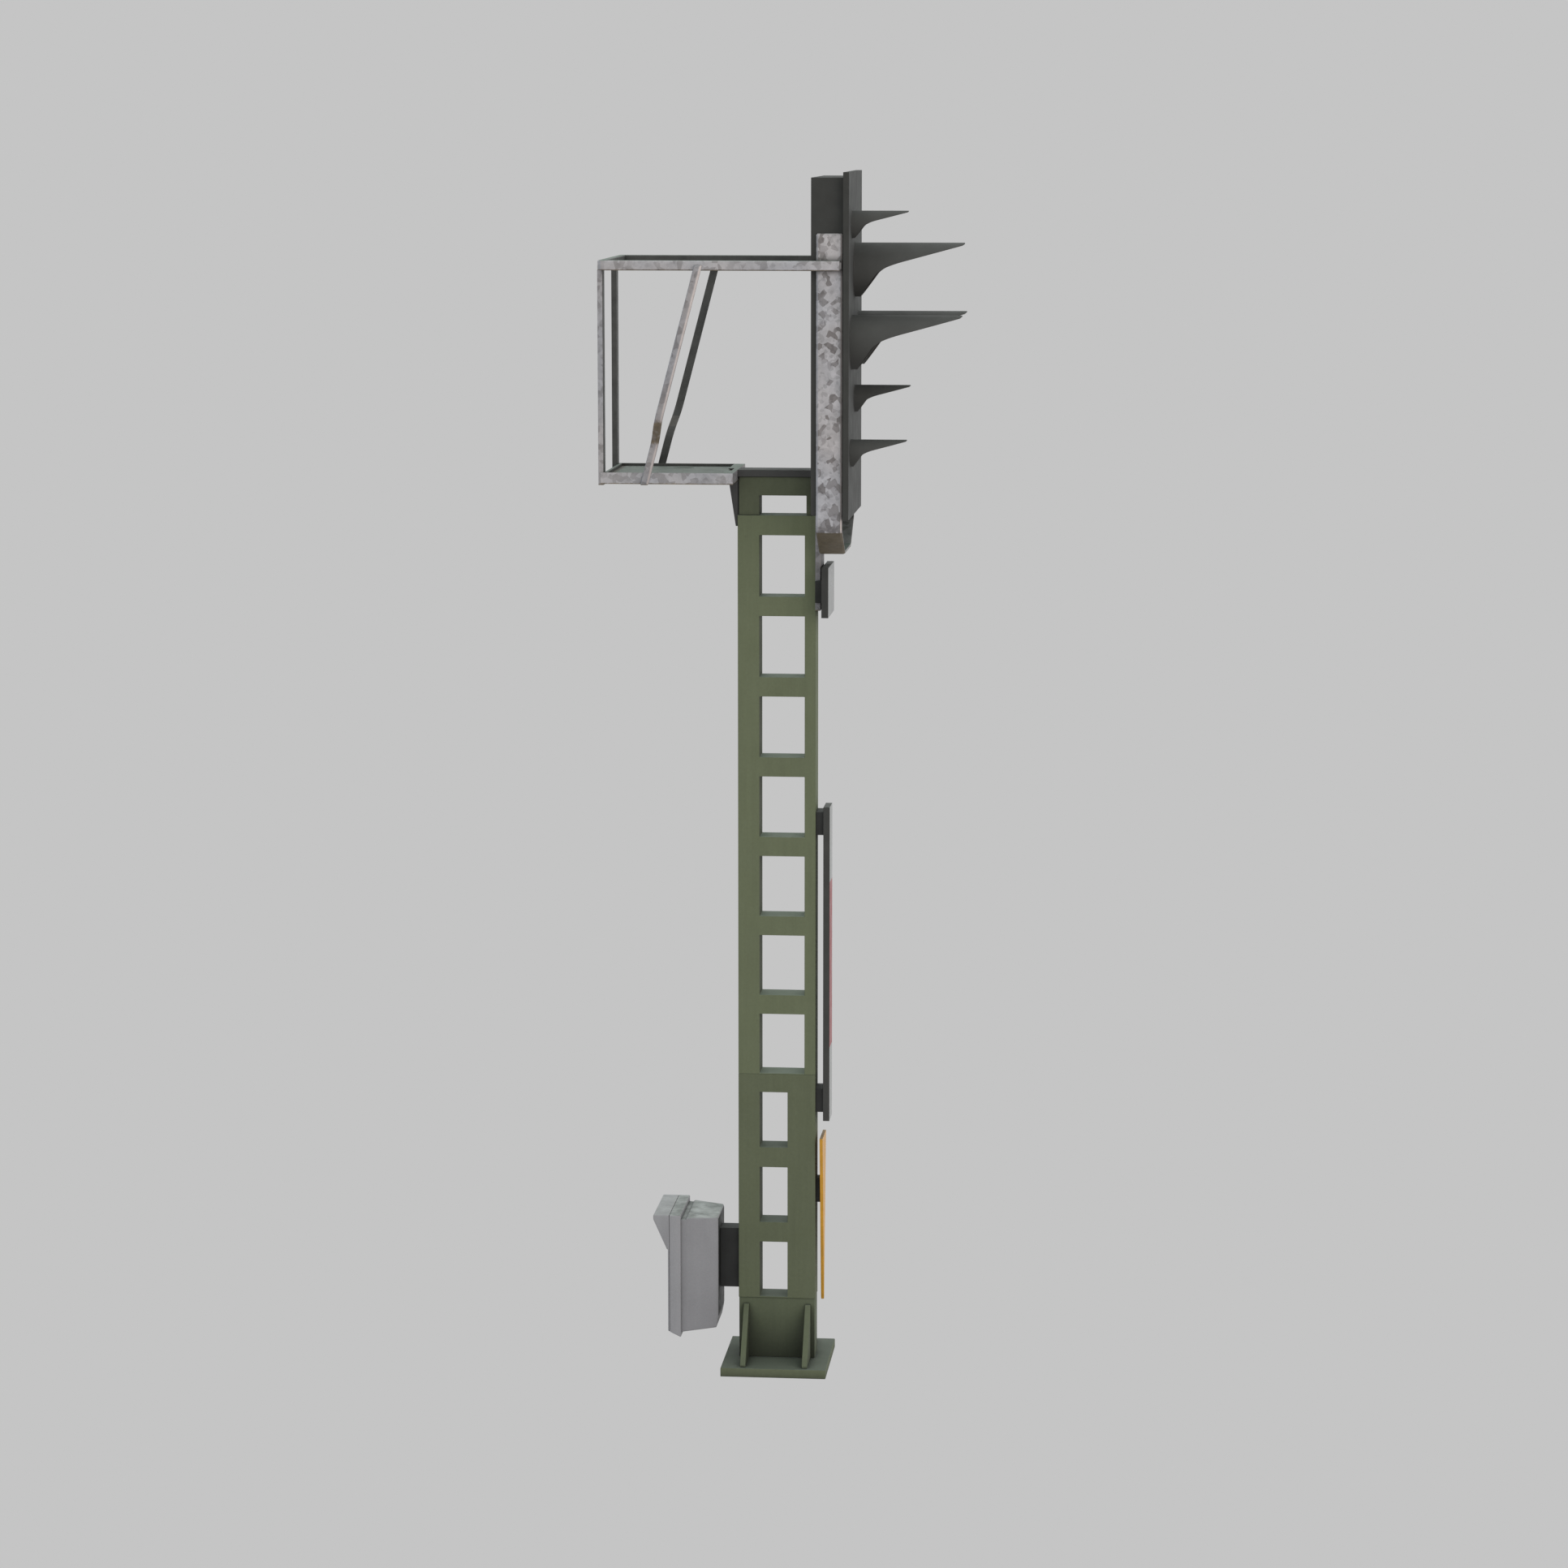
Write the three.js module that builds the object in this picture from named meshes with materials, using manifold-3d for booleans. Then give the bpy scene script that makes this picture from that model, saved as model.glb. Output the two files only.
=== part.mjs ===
// Railway colour-light signal on a ladder mast, full size, as an assembly of separate pieces.
//
// Units are millimetres. +Z is up, +X is the way the lamps face, -Y is the driver's left.
// The origin is on the ground, under the middle of the mast. "Front" is +X, "rear" is -X,
// "left" is -Y and "right" is +Y.

import * as THREE from 'three';
import { mergeVertices } from 'three/addons/utils/BufferGeometryUtils.js';
import Module from 'manifold-3d';

const wasm = await Module();
wasm.setup();

// ---------------------------------------------------------------- driving dimensions

// Mast
const MAST_HALF_LENGTH = 184; // half the mast's size along X
const MAST_HALF_WIDTH = 70; // half the mast's size along Y
const WALL = 6; // plate thickness of the hollow mast sections
const BASE_TOP = 43;
const FOOT_TOP = 337;
const LOWER_TOP = 1435;
const UPPER_TOP = 4107;
const MAST_TOP = 4288;
const WINDOW_REAR = -82; // all windows start at this X

// Platform
const PLATFORM_TOP = 4320;
const BEAM_HEIGHT = 53;
const PLATFORM_REAR = -801;
const PLATFORM_HALF_WIDTH = 285;
const BEAM_WEB = 6;
const LEDGE_TOP = PLATFORM_TOP - 19; // the floor rests here
const FLOOR_THICKNESS = 6;
const REAR_BEAM = [-787, -772]; // X range of the cross beam at the rear
const FRONT_BEAM_REAR = -236;

// Guard rail
const RAIL_BOTTOM = 5256;
const RAIL_TOP = 5302;
const RAIL_HALF_WIDTH = 400;
const RAIL_THICKNESS = 35;
const RAIL_REAR = -798;
const RAIL_FRONT = 326;
const STRUT_WIDTH = 37; // along X
const STRUT_THICKNESS = 10; // along Y

// Signal head
const HEAD_REAR = MAST_HALF_LENGTH;
const HEAD_HALF_WIDTH = 350;
const HEAD_BOTTOM = 4135;
const HEAD_TOP = 5678;
const SCREEN_REAR = 334;
const SCREEN_FRONT = 361;
const SCREEN_HALF_WIDTH = 390;
const SCREEN_BOTTOM = 4115;
const SCREEN_TOP = 5703;
const HEAD_SHEET = 3; // sheet thickness of the housing, its door and the screen
const HANGER_FRONT = 209; // front of the hanger plate, where the head's band starts
const HANGER_HALF_WIDTH = 100;
const DOOR_BOTTOM = 4343; // door opening in the rear wall of the head
const DOOR_TOP = 5597;
const DOOR_OPENING_HALF_WIDTH = 333;
const DOOR_THICKNESS = 12;
const DOOR_GAP = 3;
const DOOR_AXIS_Y = 322;

// Lamps: big ones show red, green and yellow, small ones show white
const BIG_LAMP = { hoodRadius: 125, hoodLength: 509, facets: 36 };
const SMALL_LAMP = { hoodRadius: 63, hoodLength: 260, facets: 28 };
const HOOD_SHEET = 4;
const LENS_MARGIN = 12; // from the inside of the hood to the edge of the lens
const BOARD_SHEET = 3;
const LAMPS = [
  { name: 'white_top_left', kind: SMALL_LAMP, y: -191, z: 5463, colour: 0xd9dde0 },
  { name: 'red', kind: BIG_LAMP, y: 0, z: 5250, colour: 0x7a1418 },
  { name: 'green', kind: BIG_LAMP, y: -195, z: 4923, colour: 0x0f5a3c },
  { name: 'yellow', kind: BIG_LAMP, y: 225, z: 4925, colour: 0xb98512 },
  { name: 'white_centre', kind: SMALL_LAMP, y: 0, z: 4653, colour: 0xd9dde0 },
  { name: 'white_low_left', kind: SMALL_LAMP, y: -251, z: 4416, colour: 0xd9dde0 },
];

// Telephone box, which opens to the rear: its back is the end next to the mast
const PHONE_BACK = -275;
const PHONE_COLLAR_BACK = -450;
const PHONE_COLLAR_FRONT = -504;
const PHONE_DOOR_BACK = -504.5;
const PHONE_DOOR_FRONT = -511;
const PHONE_HALF_WIDTH = 205;
const PHONE_TOP = 766;
const PHONE_WALL = 6;
const PHONE_HINGE = { x: PHONE_DOOR_BACK, y: PHONE_HALF_WIDTH + 6 };

// Hinge eyes and pins
const EYE_RADIUS = 5;
const EYE_BORE = 3.4;
const PIN_RADIUS = 3;
const AXIAL_GAP = 0.5;

// ---------------------------------------------------------------- finishes

const FINISHES = {
  mastGreen: { color: 0x5f6a4c, roughness: 0.75, metalness: 0.0 },
  darkGreen: { color: 0x57614a, roughness: 0.75, metalness: 0.0 },
  galvanised: { color: 0x9c999b, roughness: 0.5, metalness: 0.7 },
  headBlack: { color: 0x3d3d3b, roughness: 0.7, metalness: 0.0 },
  screenGrey: { color: 0x42423f, roughness: 0.75, metalness: 0.0 },
  floorSheet: { color: 0x6f7b74, roughness: 0.6, metalness: 0.3 },
  lampCase: { color: 0x2b2b2b, roughness: 0.6, metalness: 0.2 },
  boardGrey: { color: 0x9b9b9b, roughness: 0.6, metalness: 0.0 },
  boardRed: { color: 0xb56468, roughness: 0.6, metalness: 0.0 },
  yellow: { color: 0xb88634, roughness: 0.6, metalness: 0.0 },
  phoneGrey: { color: 0x8b8b90, roughness: 0.6, metalness: 0.0 },
  black: { color: 0x262626, roughness: 0.6, metalness: 0.0 },
  lock: { color: 0xb0b2b4, roughness: 0.35, metalness: 1.0 },
};

// ---------------------------------------------------------------- building blocks

function box(x0, x1, y0, y1, z0, z1) {
  const geometry = new THREE.BoxGeometry(x1 - x0, y1 - y0, z1 - z0);
  return geometry.translate((x0 + x1) / 2, (y0 + y1) / 2, (z0 + z1) / 2);
}

function outline(points) {
  return new THREE.Shape(points.map(([a, b]) => new THREE.Vector2(a, b)));
}

function extrude(shape, depth, curveSegments = 1) {
  return new THREE.ExtrudeGeometry(shape, { depth, curveSegments, bevelEnabled: false });
}

// An outline given as [x, y] points, extruded along Z.
function prismAlongZ(points, z0, z1) {
  return extrude(outline(points), z1 - z0).translate(0, 0, z0);
}

// An outline given as [x, z] points, extruded along Y.
function prismAlongY(points, y0, y1) {
  return extrude(outline(points), y1 - y0).rotateX(Math.PI / 2).translate(0, y1, 0);
}

// Turns local (x, y, z) into (z, x, y), so that an outline drawn in (y, z) is extruded along X.
const ALONG_X = new THREE.Matrix4().set(0, 0, 1, 0, 1, 0, 0, 0, 0, 1, 0, 0, 0, 0, 0, 1);

// An outline given as [y, z] points, extruded along X.
function prismAlongX(points, x0, x1) {
  return extrude(outline(points), x1 - x0).applyMatrix4(ALONG_X).translate(x0, 0, 0);
}

function rodAlongX(y, z, radius, x0, x1, facets = 16) {
  const geometry = new THREE.CylinderGeometry(radius, radius, x1 - x0, facets);
  return geometry.rotateZ(-Math.PI / 2).translate((x0 + x1) / 2, y, z);
}

function rodAlongZ(x, y, radius, z0, z1, facets = 16) {
  const geometry = new THREE.CylinderGeometry(radius, radius, z1 - z0, facets);
  return geometry.rotateX(Math.PI / 2).translate(x, y, (z0 + z1) / 2);
}

function toSolid(geometry) {
  const bare = geometry.clone();
  bare.deleteAttribute('normal');
  bare.deleteAttribute('uv');
  const merged = mergeVertices(bare);
  return new wasm.Manifold(new wasm.Mesh({
    numProp: 3,
    vertProperties: new Float32Array(merged.attributes.position.array),
    triVerts: new Uint32Array(merged.index.array),
  }));
}

function toGeometry(solid) {
  const mesh = solid.getMesh();
  const geometry = new THREE.BufferGeometry();
  geometry.setAttribute('position', new THREE.BufferAttribute(mesh.vertProperties, 3));
  geometry.setIndex(new THREE.BufferAttribute(mesh.triVerts, 1));
  geometry.computeVertexNormals();
  return geometry;
}

function join(first, ...others) {
  return toGeometry(others.reduce((solid, other) => solid.add(toSolid(other)), toSolid(first)));
}

function cut(body, ...tools) {
  return toGeometry(tools.reduce((solid, tool) => solid.subtract(toSolid(tool)), toSolid(body)));
}

function common(first, second) {
  return toGeometry(toSolid(first).intersect(toSolid(second)));
}

// The line through the points, moved sideways by the distance, with mitred corners.
// Positive distances move it to the left of its direction of travel.
function offsetLine(points, distance) {
  const sideOf = (a, b) => {
    const length = Math.hypot(b[0] - a[0], b[1] - a[1]);
    return [-(b[1] - a[1]) / length, (b[0] - a[0]) / length];
  };
  return points.map((point, i) => {
    const before = i > 0 ? sideOf(points[i - 1], point) : sideOf(point, points[i + 1]);
    const after = i < points.length - 1 ? sideOf(point, points[i + 1]) : before;
    const scale = distance / (1 + before[0] * after[0] + before[1] * after[1]);
    return [point[0] + (before[0] + after[0]) * scale, point[1] + (before[1] + after[1]) * scale];
  });
}

// A closed convex outline, listed anticlockwise, moved inward by the distance.
function insetOutline(points, distance) {
  const last = points.length - 1;
  const wrapped = offsetLine([points[last], ...points, points[0]], distance);
  return wrapped.slice(1, -1);
}

// A sheet with folded edges: an outline given as [y, z] points, open towards the rear.
function trayAlongX(points, rear, front, sheet) {
  return cut(prismAlongX(points, rear, front),
    prismAlongX(insetOutline(points, sheet), rear - 1, front - sheet));
}

function rectangle(halfWidth, bottom, top) {
  return [[-halfWidth, bottom], [halfWidth, bottom], [halfWidth, top], [-halfWidth, top]];
}

// A rectangular tube that runs along X and is open at both ends.
function tubeAlongX(x0, x1, halfWidth, bottom, top, wall) {
  return cut(box(x0, x1, -halfWidth, halfWidth, bottom, top),
    box(x0 - 1, x1 + 1, -halfWidth + wall, halfWidth - wall, bottom + wall, top - wall));
}

// A strip of constant thickness along a line of points.
function strip(points, thickness) {
  return [...points, ...offsetLine(points, thickness).reverse()];
}

// Mirrors an outline's first coordinate, which is y in the outlines that use it.
function mirrored(points) {
  return points.map(([y, z]) => [-y, z]);
}

const signal = new THREE.Group();

function addPiece(parent, name, geometry, finish) {
  const mesh = new THREE.Mesh(geometry, new THREE.MeshStandardMaterial(finish));
  mesh.name = name;
  parent.add(mesh);
  return mesh;
}

function addGroup(x, y, z) {
  const group = new THREE.Group();
  group.position.set(x, y, z);
  signal.add(group);
  return group;
}

// ---------------------------------------------------------------- foot

function buildFoot() {
  const plateHalfLength = 252;
  const plateHalfWidth = 280;
  const footHalfLength = 182;
  const footHalfWidth = 66;
  addPiece(signal, 'base_plate',
    box(-plateHalfLength, plateHalfLength, -plateHalfWidth, plateHalfWidth, 0, BASE_TOP),
    FINISHES.darkGreen);

  const outer = box(-footHalfLength, footHalfLength, -footHalfWidth, footHalfWidth, BASE_TOP, FOOT_TOP);
  const innerLength = footHalfLength - WALL;
  const innerWidth = footHalfWidth - WALL;
  const inner = box(-innerLength, innerLength, -innerWidth, innerWidth, BASE_TOP - 1, FOOT_TOP + 1);
  addPiece(signal, 'mast_foot', cut(outer, inner), FINISHES.darkGreen);

  // The gussets reach from the foot to near the edges of the plate, with blunt tips.
  const reach = 257;
  const tipTop = 55;
  const gussetTop = 307;
  const topWidth = 8;
  const gusset = [
    [footHalfWidth, BASE_TOP],
    [reach, BASE_TOP],
    [reach, tipTop],
    [footHalfWidth + topWidth, gussetTop],
    [footHalfWidth, gussetTop],
  ];
  for (const [side, shape] of [['left', mirrored(gusset)], ['right', gusset]]) {
    addPiece(signal, `foot_gusset_rear_${side}`, prismAlongX(shape, -160, -134), FINISHES.darkGreen);
    addPiece(signal, `foot_gusset_front_${side}`, prismAlongX(shape, 136, 162), FINISHES.darkGreen);
  }
}

// ---------------------------------------------------------------- mast

// A hollow rectangular section with windows straight through it along Y. Each window keeps
// plate around it, so the posts and rungs are hollow. The section is always open underneath.
function ladderSection({ halfLength, halfWidth, bottom, top, windowFront, windows, openTop }) {
  const outer = box(-halfLength, halfLength, -halfWidth, halfWidth, bottom, top);
  const cavity = cut(
    box(-halfLength + WALL, halfLength - WALL, -halfWidth + WALL, halfWidth - WALL,
      bottom - 1, openTop ? top + 1 : top - WALL),
    ...windows.map(([low, high]) => (
      box(WINDOW_REAR - WALL, windowFront + WALL, -halfWidth, halfWidth, low - WALL, high + WALL))),
  );
  const holes = windows.map(([low, high]) => (
    box(WINDOW_REAR, windowFront, -halfWidth - 1, halfWidth + 1, low, high)));
  return cut(outer, cavity, ...holes);
}

// Equal windows, counted down from the highest one.
function windowColumn(highestTop, height, pitch, count) {
  return Array.from({ length: count }, (_, i) => [highestTop - i * pitch - height, highestTop - i * pitch]);
}

function buildMast() {
  addPiece(signal, 'mast_lower_section', ladderSection({
    halfLength: MAST_HALF_LENGTH,
    halfWidth: MAST_HALF_WIDTH,
    bottom: FOOT_TOP,
    top: LOWER_TOP,
    windowFront: 51,
    windows: windowColumn(1347, 270, 367, 3),
    openTop: true,
  }), FINISHES.darkGreen);
  addPiece(signal, 'mast_upper_section', ladderSection({
    halfLength: MAST_HALF_LENGTH,
    halfWidth: MAST_HALF_WIDTH,
    bottom: LOWER_TOP,
    top: UPPER_TOP,
    windowFront: 132,
    windows: windowColumn(4014, 289, 381, 7),
    openTop: false,
  }), FINISHES.mastGreen);

  // The head piece is a little slimmer, with a portal that stands on the mast's top plate.
  const halfLength = 178;
  const halfWidth = 63;
  const portal = { front: 139, top: 4200 };
  const outer = box(-halfLength, halfLength, -halfWidth, halfWidth, UPPER_TOP, MAST_TOP);
  const cavity = cut(
    box(-halfLength + WALL, halfLength - WALL, -halfWidth + WALL, halfWidth - WALL,
      UPPER_TOP - 1, MAST_TOP - WALL),
    box(WINDOW_REAR - WALL, portal.front + WALL, -halfWidth, halfWidth, UPPER_TOP - 2, portal.top + WALL),
  );
  const opening = box(WINDOW_REAR, portal.front, -halfWidth - 1, halfWidth + 1, UPPER_TOP - 1, portal.top);
  addPiece(signal, 'mast_head', cut(outer, cavity, opening), FINISHES.darkGreen);

  // An inverted channel caps the mast and carries the platform and the signal head.
  const flange = 10;
  const capInside = box(-MAST_HALF_LENGTH - 1, MAST_HALF_LENGTH + 1,
    -MAST_HALF_WIDTH + flange, MAST_HALF_WIDTH - flange, MAST_TOP - 1, PLATFORM_TOP - flange);
  const cap = box(-MAST_HALF_LENGTH, MAST_HALF_LENGTH, -MAST_HALF_WIDTH, MAST_HALF_WIDTH,
    MAST_TOP, PLATFORM_TOP);
  addPiece(signal, 'mast_cap_channel', cut(cap, capInside), FINISHES.headBlack);
}

// ---------------------------------------------------------------- platform

// Hinge lugs for the floor hatch, with their pins, at these middle X positions.
const HATCH_HINGES = [-690, -318];
const HATCH_AXIS = { y: -268, z: LEDGE_TOP + FLOOR_THICKNESS + EYE_RADIUS };
const HATCH_EYE_LENGTH = 40;
const LUG_LENGTH = 20;

function hatchLug(x) {
  const half = HATCH_EYE_LENGTH / 2 + AXIAL_GAP;
  const lugs = [[x - half - LUG_LENGTH, x - half], [x + half, x + half + LUG_LENGTH]];
  const pieces = lugs.flatMap(([x0, x1]) => [
    rodAlongX(HATCH_AXIS.y, HATCH_AXIS.z, EYE_RADIUS, x0, x1),
    box(x0, x1, -PLATFORM_HALF_WIDTH + 1, HATCH_AXIS.y, HATCH_AXIS.z - 4, HATCH_AXIS.z + 4),
  ]);
  return [rodAlongX(HATCH_AXIS.y, HATCH_AXIS.z, PIN_RADIUS, x - half - 1, x + half + 1), ...pieces];
}

// Outside web of a side beam, with the ledge that the floor rests on. side is -1 or 1.
function sideBeam(side, front) {
  const outside = side * PLATFORM_HALF_WIDTH;
  const inside = side * (PLATFORM_HALF_WIDTH - BEAM_WEB);
  const ledgeEdge = side * (PLATFORM_HALF_WIDTH - 40);
  const bottom = PLATFORM_TOP - BEAM_HEIGHT;
  const web = box(PLATFORM_REAR, front, Math.min(outside, inside), Math.max(outside, inside),
    bottom, PLATFORM_TOP);
  const ledge = box(REAR_BEAM[1], FRONT_BEAM_REAR, Math.min(ledgeEdge, inside), Math.max(ledgeEdge, inside),
    LEDGE_TOP - BEAM_WEB, LEDGE_TOP);
  return [web, ledge];
}

function buildPlatform() {
  const front = -MAST_HALF_LENGTH;
  const bottom = PLATFORM_TOP - BEAM_HEIGHT;
  const inside = PLATFORM_HALF_WIDTH - BEAM_WEB;
  const leftParts = [...sideBeam(-1, front), ...HATCH_HINGES.flatMap(hatchLug)];
  addPiece(signal, 'platform_side_beam_left', join(...leftParts), FINISHES.galvanised);
  addPiece(signal, 'platform_side_beam_right', join(...sideBeam(1, front)), FINISHES.galvanised);

  addPiece(signal, 'platform_rear_beam',
    box(REAR_BEAM[0], REAR_BEAM[1], -inside, inside, bottom, PLATFORM_TOP), FINISHES.galvanised);

  // The front beam is a channel, open to the rear, with a cable notch in its top flange.
  const channelInside = box(FRONT_BEAM_REAR - 1, front - BEAM_WEB, -inside - 1, inside + 1,
    bottom + BEAM_WEB, PLATFORM_TOP - BEAM_WEB);
  const notch = { front: -208, left: -110, right: 20 };
  const cableNotch = box(FRONT_BEAM_REAR - 1, notch.front, notch.left, notch.right,
    PLATFORM_TOP - BEAM_WEB - 1, PLATFORM_TOP + 1);
  addPiece(signal, 'platform_front_beam', cut(
    box(FRONT_BEAM_REAR, front, -inside, inside, bottom, PLATFORM_TOP), channelInside, cableNotch,
  ), FINISHES.galvanised);

  // Two knees brace the platform against the rear face of the mast.
  const kneeBottom = 4055;
  const kneeInside = 48;
  const kneeOutside = 60;
  const knee = [[-226, bottom], [front, bottom], [front, kneeBottom], [-194, kneeBottom]];
  addPiece(signal, 'platform_knee_left',
    prismAlongY(knee, -kneeOutside, -kneeInside), FINISHES.headBlack);
  addPiece(signal, 'platform_knee_right',
    prismAlongY(knee, kneeInside, kneeOutside), FINISHES.headBlack);

  buildFloorHatch();
}

// The whole floor lifts as one hatch. It hinges at its left edge and has a finger slot at the right.
function buildFloorHatch() {
  const gap = 1;
  const floorBottom = LEDGE_TOP;
  const floorTop = LEDGE_TOP + FLOOR_THICKNESS;
  const rear = REAR_BEAM[1] + gap;
  const front = FRONT_BEAM_REAR - gap;
  const sheet = box(rear, front, -262, PLATFORM_HALF_WIDTH - BEAM_WEB - gap, floorBottom, floorTop);
  const eyes = HATCH_HINGES.flatMap((x) => [
    rodAlongX(HATCH_AXIS.y, HATCH_AXIS.z, EYE_RADIUS, x - HATCH_EYE_LENGTH / 2, x + HATCH_EYE_LENGTH / 2),
    box(x - HATCH_EYE_LENGTH / 2, x + HATCH_EYE_LENGTH / 2, HATCH_AXIS.y, -258, floorTop - 2, floorTop + 3),
  ]);
  const bores = HATCH_HINGES.map((x) => (
    rodAlongX(HATCH_AXIS.y, HATCH_AXIS.z, EYE_BORE, x - HATCH_EYE_LENGTH, x + HATCH_EYE_LENGTH)));
  const slot = { x: -466, y: 182, halfLength: 50, halfWidth: 17 };
  const slotShape = new THREE.Shape();
  slotShape.absellipse(slot.x, slot.y, slot.halfLength, slot.halfWidth, 0, 2 * Math.PI);
  const slotTool = extrude(slotShape, FLOOR_THICKNESS + 2, 10).translate(0, 0, floorBottom - 1);
  const hatch = cut(join(sheet, ...eyes), ...bores, slotTool);
  addPiece(signal, 'platform_floor_hatch', hatch, FINISHES.floorSheet);
}

// ---------------------------------------------------------------- guard rail

function buildGuardRail() {
  const railPath = [
    [RAIL_FRONT, -RAIL_HALF_WIDTH],
    [RAIL_REAR, -RAIL_HALF_WIDTH],
    [RAIL_REAR, RAIL_HALF_WIDTH],
    [RAIL_FRONT, RAIL_HALF_WIDTH],
  ];
  addPiece(signal, 'guard_rail',
    prismAlongZ(strip(railPath, -RAIL_THICKNESS), RAIL_BOTTOM, RAIL_TOP), FINISHES.galvanised);

  // The posts are flat tubes, open underneath, bolted behind the platform's rear beam.
  const post = { rear: -812, front: REAR_BEAM[0], inside: 213, outside: 279, bottom: 4261, wall: 4 };
  for (const [name, y0, y1] of [['rail_post_left', -post.outside, -post.inside],
    ['rail_post_right', post.inside, post.outside]]) {
    addPiece(signal, name, cut(
      box(post.rear, post.front, y0, y1, post.bottom, RAIL_BOTTOM),
      box(post.rear + post.wall, post.front - post.wall, y0 + post.wall, y1 - post.wall,
        post.bottom - 1, RAIL_BOTTOM - post.wall),
    ), FINISHES.galvanised);
  }

  // Each strut leans forward as it rises, and joggles outward from the beam to the rail.
  const strutBottom = 4263;
  const strutTop = 5280;
  const strutRearAtBottom = -615;
  const lean = 0.2625; // X per Z
  const joggleBottom = 4467;
  const joggleTop = 4568;
  const innerFace = [
    [PLATFORM_HALF_WIDTH, strutBottom],
    [PLATFORM_HALF_WIDTH, joggleBottom],
    [RAIL_HALF_WIDTH, joggleTop],
    [RAIL_HALF_WIDTH, strutTop],
  ];
  const shear = new THREE.Matrix4().makeShear(0, 0, 0, 0, lean, 0)
    .premultiply(new THREE.Matrix4().makeTranslation(-lean * strutBottom, 0, 0));
  const bar = strip(innerFace, -STRUT_THICKNESS);
  for (const [name, shape] of [['rail_strut_left', mirrored(bar)], ['rail_strut_right', bar]]) {
    const geometry = prismAlongX(shape, strutRearAtBottom, strutRearAtBottom + STRUT_WIDTH);
    addPiece(signal, name, geometry.applyMatrix4(shear), FINISHES.galvanised);
  }
}

// ---------------------------------------------------------------- signal head

const DOOR_AXIS_X = HEAD_REAR + DOOR_THICKNESS / 2;
const DOOR_PIN_LENGTH = 16;

function buildHousing() {
  const width = HEAD_HALF_WIDTH;
  const front = SCREEN_FRONT - HEAD_SHEET; // the housing reaches the back of the screen's sheet
  const inside = width - HEAD_SHEET;
  const shell = cut(
    box(HEAD_REAR, front, -width, width, HEAD_BOTTOM, HEAD_TOP),
    box(HEAD_REAR + HEAD_SHEET, front + 1, -inside, inside,
      HEAD_BOTTOM + HEAD_SHEET, HEAD_TOP - HEAD_SHEET),
    box(HEAD_REAR - 1, HEAD_REAR + HEAD_SHEET + 1, -DOOR_OPENING_HALF_WIDTH, DOOR_OPENING_HALF_WIDTH,
      DOOR_BOTTOM, DOOR_TOP),
  );
  // Pivot blocks above and below the door opening hold the door's pins.
  const blocks = [[DOOR_TOP, DOOR_TOP + 24], [DOOR_BOTTOM - 24, DOOR_BOTTOM]];
  const blockSolids = blocks.map(([low, high]) => (
    box(HEAD_REAR + 1, DOOR_AXIS_X + 12, DOOR_AXIS_Y - 14, DOOR_AXIS_Y + 14, low, high)));
  const bores = [
    rodAlongZ(DOOR_AXIS_X, DOOR_AXIS_Y, EYE_BORE, DOOR_TOP - 5, DOOR_TOP + DOOR_PIN_LENGTH),
    rodAlongZ(DOOR_AXIS_X, DOOR_AXIS_Y, EYE_BORE, DOOR_BOTTOM - DOOR_PIN_LENGTH, DOOR_BOTTOM + 5),
  ];
  addPiece(signal, 'head_housing', cut(join(shell, ...blockSolids), ...bores), FINISHES.headBlack);
}

const LATCH_Y = -304;
const LATCH_HEIGHTS = [['lower', 4650], ['upper', 5290]];
const LATCH_RADIUS = 11;

function buildHeadDoor() {
  const edgeY = DOOR_OPENING_HALF_WIDTH - DOOR_GAP;
  const bottom = DOOR_BOTTOM + DOOR_GAP;
  const top = DOOR_TOP - DOOR_GAP;
  const rim = 16; // solid border that holds the pins
  const front = HEAD_REAR + DOOR_THICKNESS;
  const pan = cut(
    box(HEAD_REAR, front, -edgeY, edgeY, bottom, top),
    box(HEAD_REAR + HEAD_SHEET, front + 1, -edgeY + rim, edgeY - rim, bottom + rim, top - rim),
  );
  const pads = LATCH_HEIGHTS.map(([, z]) => (
    box(HEAD_REAR, front, -edgeY + 1, LATCH_Y + 18, z - 20, z + 20)));
  const pinReach = DOOR_GAP + DOOR_PIN_LENGTH - 2;
  const pins = [
    rodAlongZ(DOOR_AXIS_X, DOOR_AXIS_Y, PIN_RADIUS, top - 1, top + pinReach),
    rodAlongZ(DOOR_AXIS_X, DOOR_AXIS_Y, PIN_RADIUS, bottom - pinReach, bottom + 1),
  ];
  const holes = LATCH_HEIGHTS.map(([, z]) => (
    rodAlongX(LATCH_Y, z, LATCH_RADIUS + 0.5, HEAD_REAR - 1, front + 1, 24)));
  addPiece(signal, 'head_door', cut(join(pan, ...pads, ...pins), ...holes), FINISHES.headBlack);

  // Quarter-turn locks: a square-key barrel with a tongue that turns behind the opening's rim.
  for (const [name, z] of LATCH_HEIGHTS) {
    const tongueX = front + 2;
    const barrel = join(
      rodAlongX(LATCH_Y, z, LATCH_RADIUS, HEAD_REAR - 1, tongueX + 1, 24),
      box(tongueX, tongueX + 4, LATCH_Y - 8, LATCH_Y + 8, z - 8, z + 36),
    );
    const keyHole = box(HEAD_REAR - 2, HEAD_REAR + 6, LATCH_Y - 4, LATCH_Y + 4, z - 4, z + 4);
    addPiece(signal, `head_door_latch_${name}`, cut(barrel, keyHole), FINISHES.lock);
  }
}

function lensRadius(kind) {
  return kind.hoodRadius - HOOD_SHEET - LENS_MARGIN;
}

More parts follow.
